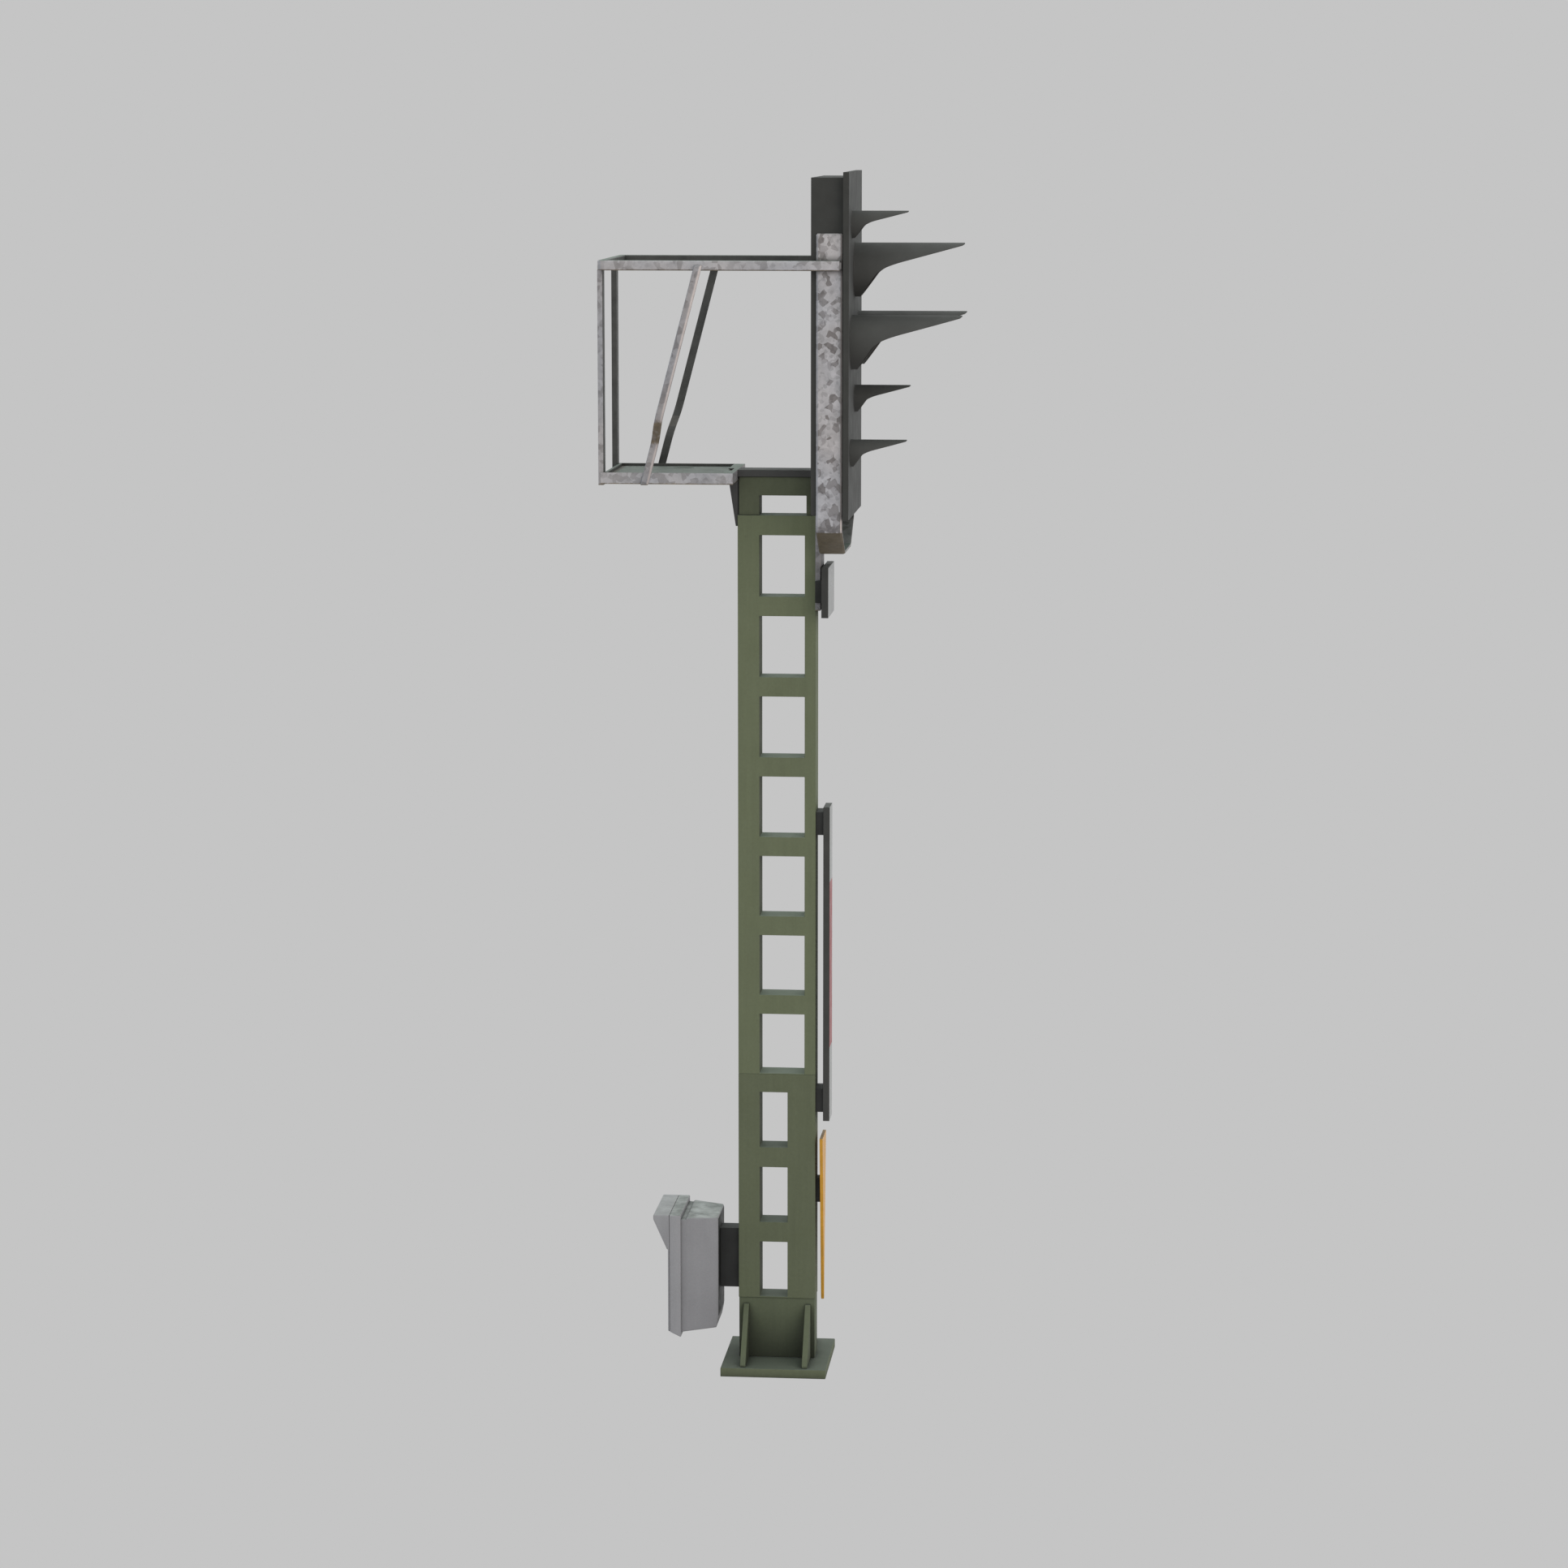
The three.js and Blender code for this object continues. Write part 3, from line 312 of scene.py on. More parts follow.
def spangles(mat):
    """Brightness of hot-dip zinc crystals: flat polygons, the dark ones gathered in loose clusters."""
    clusters = mat.clamp(mat.noise(8.0, 2.0), 0.3, 0.7)
    shift = mat.times(mat.math("SUBTRACT", clusters, 0.5), 0.24)
    large = mat.math("ADD", mat.cells(38.0), shift)
    large = mat.steps(large, [
        (0.0, (0.50, 0.48, 0.465)),
        (0.13, (0.62, 0.605, 0.595)),
        (0.25, (0.80, 0.79, 0.79)),
        (0.34, (1.0, 1.0, 1.0)),
        (0.75, (1.08, 1.08, 1.08)),
    ])
    small = mat.math("ADD", mat.cells(72.0), shift)
    small = mat.steps(small, [
        (0.0, (0.76, 0.76, 0.76)),
        (0.16, (0.91, 0.91, 0.91)),
        (0.3, (1.0, 1.0, 1.0)),
    ])
    return mat.mix(0.8, large, small, "MULTIPLY")


def painted_edge_light(mat, colour):
    """Zinc on rounded edges, with painted light: a warm painted highlight towards +X with a dark painted
    rim of shade, and a bluish painted reflection towards -X.
    """
    for tone, strength, coming, going in PAINTED_EDGE_TONES:
        band = mat.times(mat.clamp(mat.facing, *coming), mat.clamp(mat.facing, *going))
        colour = mat.cover(colour, tone, band, strength)
    return colour


def clean_zinc(mat, tone, crystals):
    warm = mat.clamp(mat.noise(2.6, 3.0), 0.4, 0.6)
    cool_zinc = [channel * tone for channel in COOL_ZINC]
    warm_zinc = [channel * tone for channel in WARM_ZINC]
    pale = mat.mix(warm, cool_zinc, warm_zinc)
    pale = mat.mottle(pale, 0.90, 1.08, 16.0, 4.0, 0.6)
    colour = mat.mix(crystals, pale, spangles(mat), "MULTIPLY")
    colour = mat.shade(colour, 0.93, 1.05, mat.streaks(9.0, 9.0, 30.0))
    return painted_edge_light(mat, colour)


def edge_rust(mat, colour, ragged, height):
    """Brown rust below a ragged line just above the given height."""
    blotches = mat.clamp(mat.noise(30.0, 5.0, 0.7), 0.35, 0.65)
    tone = mat.mix(blotches, DARK_RUST, LIGHT_RUST)
    edge = mat.math("SUBTRACT", height, mat.z)
    depth = mat.math("ADD", edge, mat.times(ragged, 11 * MM))
    return mat.cover(colour, tone, mat.clamp(depth, 0.0, 2 * MM), 0.8)


def slope_stain(mat, colour, ragged, heights, sides):
    """Patchy olive stain between two heights, on the faces that sides marks."""
    low, high = heights
    wobble = mat.math("ADD", mat.z, mat.times(ragged, 60 * MM))
    above = mat.clamp(wobble, low + 20 * MM, low + 40 * MM)
    below = mat.clamp(wobble, high + 40 * MM, high + 20 * MM)
    patches = mat.clamp(mat.noise(20.0, 3.0), 0.2, 0.45)
    olive = mat.mottle(STRUT_STAIN, 0.75, 1.25, 30.0, 5.0, 0.7)
    return mat.cover(colour, olive, mat.times(above, below, sides, patches), 0.85)


def downward_stain_and_shade(mat, colour, ragged, height):
    """Olive stain on faces that look down, below the given height: partly a real stain and partly painted
    shade.
    """
    start = mat.math("ADD", mat.z, mat.times(ragged, 8 * MM))
    covered = mat.clamp(start, height + 6 * MM, height + 2 * MM)
    olive = mat.mottle(BAND_STAIN_AND_SHADE, 0.8, 1.2, 24.0, 5.0, 0.7)
    # Only faces that look down take it, as painted shade with the stain.
    facing_down = mat.clamp(mat.up, 0.05, -0.15)
    return mat.cover(colour, olive, mat.times(covered, facing_down), 0.95)


def zinc(name, tone, rust_height=None, crystals=0.55, rust_slope=None, stain_and_shade_below=None,
         shaded_height=None, corner_shade_reach=0.035):
    """Hot-dip zinc: pale with polygonal darker spangles outside, dark on inner faces.

    Rust edges the metal below rust_height and spots it between the two heights of rust_slope.
    Faces that look down, below the height given for them, take a brown stain that is partly rust
    and partly painted shade. Painted shade darkens the zinc around shaded_height, where a bar crosses.
    """
    mat = new_material(name)
    colour = clean_zinc(mat, tone, crystals)
    if shaded_height is not None:
        # Painted shade on the zinc where the rail crosses it.
        distance = mat.math("ABSOLUTE", mat.math("SUBTRACT", mat.z, shaded_height))
        colour = mat.cover(colour, RAIL_CROSSING_SHADE, mat.clamp(distance, 48 * MM, 22 * MM), 0.6)
    top = mat.clamp(mat.up, 0.7, 0.95)
    colour = mat.mix(top, colour, ZINC_TOP)
    inner = mat.mottle(ZINC_INSIDE, 0.7, 1.35, 12.0, 4.0, 0.6)
    sides = mat.math("MAXIMUM", zinc_outward(mat), top)
    colour = mat.mix(sides, inner, colour)

    ragged = mat.noise(45.0, 5.0, 0.7)
    if rust_height is not None:
        colour = edge_rust(mat, colour, ragged, rust_height)
    if rust_slope is not None:
        colour = slope_stain(mat, colour, ragged, rust_slope, sides)
    if stain_and_shade_below is not None:
        colour = downward_stain_and_shade(mat, colour, ragged, stain_and_shade_below)

    # Painted shade in corners.
    colour = mat.painted_corner_shade(colour, 0.6, corner_shade_reach)
    roughness = mat.clamp(mat.noise(20.0, 4.0), -1.0, 1.6)
    grain = mat.bump(mat.cells(52.0), 0.25 * MM)
    normal = mat.bump(mat.noise(120.0, 4.0, 0.6), 0.35 * MM, grain)
    return mat.finish(colour, roughness, normal, Metallic=mat.times(sides, 0.5))


def floor_sheet(name):
    mat = new_material(name)
    worn = mat.clamp(mat.noise(3.5, 4.0, 0.6), 0.35, 0.65)
    colour = mat.mix(worn, (0.130, 0.155, 0.138), (0.165, 0.185, 0.168))
    colour = mat.mottle(colour, 0.9, 1.1, 40.0, 4.0, 0.6)
    spots = mat.clamp(mat.noise(18.0, 5.0, 0.75), 0.66, 0.75)
    colour = mat.cover(colour, FLOOR_SPOT, spots, 0.5)
    # Painted shade on the floor along the foot of the rear beam.
    shade_edge = mat.math("ADD", mat.x, mat.times(mat.noise(25.0, 4.0), 20 * MM))
    colour = mat.cover(colour, FLOOR_EDGE_SHADE, mat.clamp(shade_edge, *FLOOR_SHADE_SPAN), 0.85)
    roughness = mat.clamp(mat.noise(15.0), -1.2, 1.4)
    return mat.finish(colour, roughness, paint_bump(mat), Metallic=0.15)


def sign_board(name, fields, edge):
    """A board whose front carries fields, given as (lowest height, colour), over dark edges and back."""
    mat = new_material(name)
    front = fields[0][1]
    for height, colour in fields[1:]:
        front = mat.mix(mat.clamp(mat.z, height - MM, height + MM), front, colour)
    front = mat.mottle(front, 0.93, 1.05, 9.0, 4.0, 0.6)
    back = mat.mottle(edge, 0.85, 1.15, 14.0, 4.0, 0.6)
    back = mat.cover(back, BOARD_DUST, mat.clamp(mat.up, 0.6, 0.9), 0.7)
    is_front = mat.clamp(mat.facing, 0.6, 0.9)
    colour = mat.mix(is_front, back, front)
    worn = mat.clamp(mat.noise(18.0), -0.4, 2.4)
    rough_back = mat.times(mat.math("SUBTRACT", 1.0, is_front), 0.25)
    roughness = mat.math("ADD", worn, rough_back)
    beads = mat.node("TexVoronoi", {"Vector": mat.position, "Scale": 260.0},
                        feature="DISTANCE_TO_EDGE")
    return mat.finish(colour, roughness, mat.bump(beads.outputs["Distance"], 0.05 * MM))


def moulding(name, colour, top_dirt, case=False):
    """Glass-fibre moulding with fine grain and dirt on top.

    A case has a paler collar at its front and is black over its back.
    """
    mat = new_material(name)
    if case:
        collar = mat.clamp(mat.x, COLLAR_BACK + MM, COLLAR_BACK)
        colour = mat.mix(collar, colour, COLLAR_GREY)
    base = mat.mottle(colour, 0.95, 1.05, 5.0, 4.0, 0.6)
    base = mat.mottle(base, 0.95, 1.05, 150.0, 3.0, 0.7)
    base = mat.shade(base, 0.97, 1.02, mat.streaks(34.0, 34.0, 2.0))
    blotches = mat.clamp(mat.noise(11.0, 4.0, 0.6), 0.36, 0.62)
    settled = mat.mix(blotches, DARK_DUST, PALE_DUST)
    base = mat.cover(base, settled, mat.clamp(mat.up, 0.5, 0.9), top_dirt)
    if case:
        behind = mat.clamp(mat.x, BODY_BACK - 1.5 * MM, BODY_BACK - 0.5 * MM)
        base = mat.mix(behind, base, MAT_BLACK)
    # Painted shade in corners and along the seam behind the collar.
    base = mat.painted_corner_shade(base, 0.45, 0.06)
    base = mat.painted_corner_shade(base, 0.4, 0.012)
    grain = mat.bump(mat.noise(420.0, 2.0), 0.25 * MM)
    roughness = mat.clamp(mat.noise(30.0), -0.8, 1.5)
    return mat.finish(base, roughness, grain)


def lens_glass(name, colour, deep):
    mat = new_material(name)
    turned_away = mat.node("LayerWeight", {"Blend": 0.35}).outputs["Facing"]
    base = mat.mix(turned_away, colour, deep)
    base = mat.mottle(base, 0.94, 1.06, 30.0, 2.0)
    smudge = mat.clamp(mat.noise(60.0, 4.0), -0.2, 3.4)
    return mat.finish(base, smudge, None, **{"Coat Weight": 1.0, "Coat Roughness": 0.04, "IOR": 1.5})


def dark_moulding(name, colour, roughness_high):
    mat = new_material(name)
    base = mat.mottle(colour, 0.85, 1.15, 8.0, 4.0, 0.6)
    grain = mat.bump(mat.noise(300.0, 2.0), 0.12 * MM)
    roughness = mat.clamp(mat.noise(25.0), -0.6, roughness_high)
    return mat.finish(base, roughness, grain)


def plated_steel(name):
    mat = new_material(name)
    base = mat.mottle((0.5, 0.51, 0.52), 0.85, 1.1, 40.0, 4.0, 0.6)
    turned = mat.streaks(900.0, 60.0, 60.0, 2.0, 0.5)
    roughness = mat.clamp(turned, -0.6, 2.4)
    return mat.finish(base, roughness, mat.bump(turned, 0.05 * MM), Metallic=1.0)


def underside(node):
    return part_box(node)[0].z


WHITE_FILM = (0.41, 0.415, 0.415)
RED_FILM = (0.33, 0.037, 0.043)
YELLOW_FILM = (0.76, 0.36, 0.020)
DULL_WHITE_FILM = (0.33, 0.335, 0.34)
BOARD_EDGE = (0.039, 0.039, 0.036)
DARK_BOARD_EDGE = (0.027, 0.027, 0.025)
MAST_BOARD_LOW, MAST_BOARD_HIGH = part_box("mast_board")
RAIL_MIDDLE = sum(corner.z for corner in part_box("guard_rail")) / 2
WHITE_FIELD = 0.358
STRUT_STAIN_HEIGHTS = (4.455, 4.565)
BAND_STAIN_AND_SHADE_HEIGHT = 4.055
MAST_REVEAL_LIMIT = 0.1

MATERIALS = {
    # dark_green, foot_green, shaded_green and base_green are darker copies of the mast paint: painted
    # shade on the lower mast, the foot, the head under the platform and the base plate.
    "mast_green": green_paint("mast_green", (0.140, 0.160, 0.091), (0.16, 0.20, 0.16),
                              reveal_limit=MAST_REVEAL_LIMIT),
    "dark_green": green_paint("dark_green", (0.117, 0.133, 0.077), (0.10, 0.125, 0.10),
                              reveal_limit=MAST_REVEAL_LIMIT),
    "foot_green": green_paint("foot_green", (0.108, 0.126, 0.074), (0.085, 0.105, 0.085), 0.27),
    "shaded_green": green_paint("head_green", (0.092, 0.104, 0.060), (0.085, 0.105, 0.085), 0.12),
    "base_green": green_paint("base_green", (0.116, 0.132, 0.076), (0.098, 0.118, 0.098), 0.04),
    "hood": black_paint("hood_black", (0.060, 0.060, 0.0565), (0.058, 0.060, 0.058)),
    "black": black_paint("head_black", (0.0315, 0.0315, 0.029), (0.024, 0.025, 0.023)),
    "frame": black_paint("frame_black", (0.052, 0.051, 0.050), (0.064, 0.068, 0.064)),
    # The screen's third colour is painted light on its face towards +X.
    "screen": black_paint("screen_grey", (0.033, 0.033, 0.030), (0.024, 0.025, 0.023),
                          (0.054, 0.054, 0.053)),
    "bracket": black_paint("bracket_black", (0.0165, 0.0165, 0.016), (0.05, 0.055, 0.052)),
    "zinc_beam": zinc("galvanised_beam", 0.91, underside("platform_side_beam_left")),
    "zinc_rail": zinc("galvanised_rail", 0.92, underside("guard_rail")),
    "zinc_post": zinc("galvanised_post", 0.82, underside("rail_post_left")),
    "zinc_strut": zinc("galvanised_strut", 0.72, underside("rail_strut_left"),
                       rust_slope=STRUT_STAIN_HEIGHTS),
    # The hanger's low tone is painted shade from the head and the boards.
    "zinc_hanger": zinc("galvanised_hanger", 0.52, underside("head_hanger_plate")),
    "zinc_band": zinc("galvanised_band", 0.95, crystals=1.0, stain_and_shade_below=BAND_STAIN_AND_SHADE_HEIGHT,
                      shaded_height=RAIL_MIDDLE, corner_shade_reach=0.012),
    "floor": floor_sheet("floor_sheet"),
    "id_board": sign_board("board_grey", [(0.0, DULL_WHITE_FILM)], DARK_BOARD_EDGE),
    "mast_board": sign_board("board_red_white", [
        (0.0, WHITE_FILM),
        (MAST_BOARD_LOW.z + WHITE_FIELD, RED_FILM),
        (MAST_BOARD_HIGH.z - WHITE_FIELD, WHITE_FILM),
    ], BOARD_EDGE),
    "triangle": sign_board("board_yellow", [(0.0, YELLOW_FILM)], (0.60, 0.295, 0.021)),
    "telephone_door": moulding("telephone_door_grey", (0.325, 0.32, 0.337), 0.45),
    "telephone_case": moulding("telephone_case_grey", (0.276, 0.271, 0.287), 1.0, case=True),
    "lamp_case": dark_moulding("lamp_case", (0.03, 0.03, 0.03), 1.6),
    "gasket": dark_moulding("gasket", (0.018, 0.018, 0.018), 1.3),
    "handset": dark_moulding("handset_black", (0.014, 0.014, 0.015), 3.0),
    "lock": plated_steel("lock_steel"),
    "lens_red": lens_glass("lens_red", (0.32, 0.012, 0.014), (0.12, 0.004, 0.006)),
    "lens_green": lens_glass("lens_green", (0.01, 0.19, 0.09), (0.004, 0.07, 0.035)),
    "lens_yellow": lens_glass("lens_yellow", (0.62, 0.27, 0.012), (0.30, 0.11, 0.006)),
    "lens_white": lens_glass("lens_white", (0.58, 0.61, 0.63), (0.30, 0.33, 0.35)),
}


# ---- CAD pieces that keep their shape

# Node name, or the start of it: material and edge radius in millimetres
KEPT = {
    "base_plate": ("base_green", 3.0),
    "mast_foot": ("foot_green", 1.2),
    "foot_gusset": ("foot_green", 2.0),
    "mast_head": ("shaded_green", 2.0),
    "mast_cap_channel": ("frame", 2.5),
    "platform_side_beam": ("zinc_beam", 2.5),
    "platform_rear_beam": ("zinc_beam", 3.0),
    "platform_front_beam": ("zinc_beam", 2.0),
    "platform_knee": ("frame", 2.0),
    "platform_floor_hatch": ("floor", 1.5),
    "rail_post": ("zinc_post", 3.0),
    "head_housing": ("black", 3.0),
    "head_door": ("black", 2.0),
    "head_door_latch": ("lock", 1.0),
    "screen_plate": ("screen", 2.0),
    "head_hanger_plate": ("zinc_hanger", 3.0),
    "lamp_case": ("lamp_case", 1.0),
    "id_board_bracket": ("bracket", 2.0),
    "id_board": ("id_board", 2.0),
    "mast_board": ("mast_board", 2.0),
    "mast_board_bracket": ("bracket", 2.0),
    "triangle_board": ("triangle", 2.0),
    "triangle_board_bracket": ("bracket", 2.0),
    "telephone_bracket": ("bracket", 2.0),
    "telephone_lock": ("lock", 1.0),
}


def bevel_edges(piece, width):
    bevel = piece.modifiers.new("edges", "BEVEL")
    bevel.width = width
    bevel.segments = 2
    bevel.limit_method = "ANGLE"
    piece.modifiers.new("shading", "WEIGHTED_NORMAL")
    return bevel


def soften_edges(piece, radius):
    """Rounds a CAD piece's edges with modifiers, so its own mesh stays as packed."""
    custom = piece.data.attributes.get("custom_normal")
    if custom is not None:
        piece.data.attributes.remove(custom)
    piece.data.polygons.foreach_set("use_smooth", [True] * len(piece.data.polygons))
    weld = piece.modifiers.new("weld", "WELD")
    weld.merge_threshold = 0.02 * MM
    flatten = piece.modifiers.new("flatten", "DECIMATE")
    flatten.decimate_type = "DISSOLVE"
    flatten.angle_limit = math.radians(0.5)
    bevel = bevel_edges(piece, radius * MM)
    bevel.angle_limit = math.radians(40)
    bevel.miter_outer = "MITER_ARC"


def longest_match(name):
    return max((key for key in KEPT if name.startswith(key)), key=len, default=None)


def finish_kept_nodes():
    for name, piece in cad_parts.items():
        key = longest_match(name)
        if key is None:
            continue
        material, radius = KEPT[key]
        piece.data.materials.clear()
        piece.data.materials.append(MATERIALS[material])
        soften_edges(piece, radius)


# ---- mesh building blocks

def add_object(name, data):
    made = bpy.data.objects.new(name, data)
    bpy.context.scene.collection.objects.link(made)
    return made


def closed_mesh(name, shape):
    """A mesh of a shape, given as (vertices, faces), with its normals turned outwards."""
    vertices, faces = shape
    mesh = bpy.data.meshes.new(name)
    mesh.from_pydata([tuple(vertex) for vertex in vertices], [], faces)
    shaper = bmesh.new()
    shaper.from_mesh(mesh)
    bmesh.ops.recalc_face_normals(shaper, faces=shaper.faces)
    shaper.to_mesh(mesh)
    shaper.free()
    return mesh


def shade_smooth(mesh, angle):
    """Smooth, except across edges sharper than the angle in degrees."""
    mesh.polygons.foreach_set("use_smooth", [True] * len(mesh.polygons))
    mesh.set_sharp_from_angle(angle=math.radians(angle))


def stand_in(node, name, shape, material, slot, **options):
    """A new piece that is shown instead of a CAD node."""
    piece = make_piece(name, shape, material, slot, **options)
    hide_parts(node)
    return piece


def make_piece(name, shape, material, slot, body="root", smooth=40):
    """A new piece that rides on a CAD body."""
    mesh = closed_mesh(name, shape)
    shade_smooth(mesh, smooth)
    mesh.materials.append(MATERIALS[material])
    piece = add_object(name, mesh)
    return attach(piece, body)


def loft(rings, closed=False):
    """Joins rings of equal length into a skin, closed into a loop or capped at both ends."""
    count = len(rings[0])
    vertices = [point for ring in rings for point in ring]
    pairs = list(zip(range(len(rings)), range(1, len(rings))))
    if closed:
        pairs.append((len(rings) - 1, 0))
    faces = []
    for a, b in pairs:
        for i in range(count):
            j = (i + 1) % count
            faces.append((a * count + i, a * count + j, b * count + j, b * count + i))
    if not closed:
        faces.append(tuple(range(count)))
        faces.append(tuple((len(rings) - 1) * count + i for i in range(count)))
    return vertices, faces


def circle(count):
    """(cosine, sine) of angles spaced evenly round a circle."""
    angles = [math.tau * i / count for i in range(count)]
    return [(math.cos(angle), math.sin(angle)) for angle in angles]


def rectangle(x0, y0, x1, y1):
    return [(x0, y0), (x1, y0), (x1, y1), (x0, y1)]


def revolve(profile, centre, segments=96, closed=True):
    """Turns a profile of (x, radius) points about the X axis through the centre."""
    rings = []
    for x, radius in profile:
        ring = [Vector((x, radius * sine, radius * cosine)) for cosine, sine in circle(segments)]
        rings.append([centre + point for point in ring])
    return loft(rings, closed)


def quadratic(start, control, end, steps):
    """Points along a quadratic Bezier curve, both ends included."""
    places = [step / steps for step in range(steps + 1)]
    return [start * (1 - t) ** 2 + control * 2 * t * (1 - t) + end * t ** 2 for t in places]


def rounded(points, radius, steps=4, closed=True):
    """A 2-D outline with its corners rounded. radius is one number, or one for each point."""
    count = len(points)
    radii = radius if isinstance(radius, (list, tuple)) else [radius] * count
    result = []
    for i, corner in enumerate(points):
        if radii[i] <= 0 or (not closed and i in (0, count - 1)):
            result.append(Vector(corner))
            continue
        corner = Vector(corner)
        before = Vector(points[i - 1]) - corner
        after = Vector(points[(i + 1) % count]) - corner
        reach = min(radii[i], before.length * 0.49, after.length * 0.49)
        start = corner + before.normalized() * reach
        end = corner + after.normalized() * reach
        result += quadratic(start, corner, end, steps)
    return result


def mitres(path):
    """For each point of an open 2-D path, the sideways step that keeps a constant distance."""
    sides = []
    for start, end in zip(path, path[1:]):
        along = (end - start).normalized()
        sides.append(Vector((-along.y, along.x)))
    sides = [sides[0], *sides, sides[-1]]
    return [(a + b) / (1 + a.dot(b)) for a, b in zip(sides, sides[1:])]


def sweep(path, section, place, end_bevel):
    """Sweeps a section of (sideways, across) points along an open path, with bevelled ends."""
    middle = sum((Vector(point) for point in section), Vector((0, 0))) / len(section)
    half = Vector([max(abs(point[axis] - middle[axis]) for point in section) for axis in (0, 1)])
    shrink = Vector(((half.x - end_bevel) / half.x, (half.y - end_bevel) / half.y))
    first = path[0] + (path[1] - path[0]).normalized() * end_bevel
    last = path[-1] + (path[-2] - path[-1]).normalized() * end_bevel
    stations = [path[0], first, *path[1:-1], last, path[-1]]
    steps = mitres(stations)
    rings = []
    for index, (point, step) in enumerate(zip(stations, steps)):
        at_end = index in (0, len(stations) - 1)
        ring = []
        for sideways, across in section:
            if at_end:
                sideways = middle.x + (sideways - middle.x) * shrink.x
                across = middle.y + (across - middle.y) * shrink.y
            spot = point + step * sideways
            ring.append(place(spot.x, spot.y, across))
        rings.append(ring)
    return loft(rings)


# ---- hoods

# The lower edge, as (share of the length, share of the diameter below the top): root, curve and tip
HOOD_ROOT = (0.053, 1.0)
HOOD_CURVE = [Vector((0.193, 0.596)), Vector((0.243, 0.45)), Vector((0.474, 0.324))]
HOOD_CURVE_STEPS = 12
HOOD_TIP = [(0.987, 0.036), (1.0, 0.01), (1.0, 0.0)]
HOOD_SHEET = 4 * MM
HOOD_SEGMENTS = 128
HOOD_ROWS = 26
HOOD_RIM_STEPS = 4


def hood_cut():
    """All points of the hood's lower edge, from root to tip."""
    curve = [tuple(point) for point in quadratic(*HOOD_CURVE, HOOD_CURVE_STEPS)]
    return [HOOD_ROOT, *curve, *HOOD_TIP]


def reach_at(depth, cut):
    """How far the hood reaches, as a share of its length, at a depth below its top."""
    for (x0, d0), (x1, d1) in zip(cut, cut[1:]):
        if d1 <= depth <= d0:
            return x1 if d0 == d1 else x0 + (x1 - x0) * (d0 - depth) / (d0 - d1)
    return cut[0][0]


def build_hood(name):
    node = f"hood_{name}"
    low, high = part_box(node)
    radius = (high.y - low.y) / 2
    length = high.x - low.x
    centre = Vector((low.x, (low.y + high.y) / 2, high.z - radius))
    cut = hood_cut()
    half = HOOD_SHEET / 2
    columns = []
    for cosine, sine in circle(HOOD_SEGMENTS):
        reach = reach_at((1 - cosine) / 2, cut) * length
        profile = [(reach - half) * row / HOOD_ROWS for row in range(HOOD_ROWS + 1)]
        outer = [(x, radius) for x in profile]
        rim = []
        for step in range(1, HOOD_RIM_STEPS):
            turn = math.pi * step / HOOD_RIM_STEPS
            rim.append((reach - half + half * math.sin(turn), radius - half + half * math.cos(turn)))
        inner = [(x, radius - HOOD_SHEET) for x in reversed(profile)]
        direction = Vector((0, sine, cosine))
        columns.append([centre + Vector((x, 0, 0)) + direction * r for x, r in [*outer, *rim, *inner]])
    rings = [list(ring) for ring in zip(*columns)]
    stand_in(node, f"hood_shell_{name}", loft(rings, closed=True), "hood", "head_black")


# ---- lenses

def build_lens(name):
    """A domed lens with ring ribs, and the rubber ring that seals it to the screen."""
    node = f"lens_{name}"
    low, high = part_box(node)
    radius = (high.z - low.z) / 2
    centre = Vector((low.x, (low.y + high.y) / 2, (low.z + high.z) / 2))
    edge = 14 * MM
    dome = high.x - low.x - edge
    rib_pitch = 7 * MM
    rib_height = 1.2 * MM
    steps = 4 * round(radius / rib_pitch)
    profile = [(0.0, 0.4 * MM), (0.0, radius)]
    for i in range(steps, -1, -1):
        r = max(radius * i / steps, 0.4 * MM)
        swell = dome * (1 - (r / radius) ** 2)
        wave = 0.5 - 0.5 * math.cos(2 * math.pi * r / rib_pitch)
        profile.append((edge + swell - rib_height * wave, r))
    slot = "lens_white" if name.startswith("white") else node
    glass = revolve(profile, centre, closed=False)
    stand_in(node, f"lens_glass_{name}", glass, slot, slot, smooth=60)

    screen_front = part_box("screen_plate")[1].x
    inside, outside = radius + 0.6 * MM, radius + 11.4 * MM
    seal = rounded([(0.0, inside), (0.0, outside), (7 * MM, outside), (9 * MM, inside)], 2.5 * MM)
    ring_centre = Vector((screen_front, centre.y, centre.z))
    ring = revolve([(p.x, p.y) for p in seal], ring_centre)
    make_piece(f"lens_seal_{name}", ring, "gasket", "lamp_case")


# ---- ladder sections of the mast

# Windows, as places along X, and as (top of the highest, height, pitch, count)
WINDOW_REAR = -0.082
LOWER_WINDOW_FRONT, UPPER_WINDOW_FRONT = 0.051, 0.132
LOWER_WINDOWS = (1.347, 0.270, 0.367, 3)
UPPER_WINDOWS = (4.014, 0.289, 0.381, 7)


def window_column(highest_top, height, pitch, count):
    """Equal windows as (bottom, top), from the lowest one up."""
    tops = [highest_top - pitch * i for i in range(count)]
    return [(top - height, top) for top in reversed(tops)]


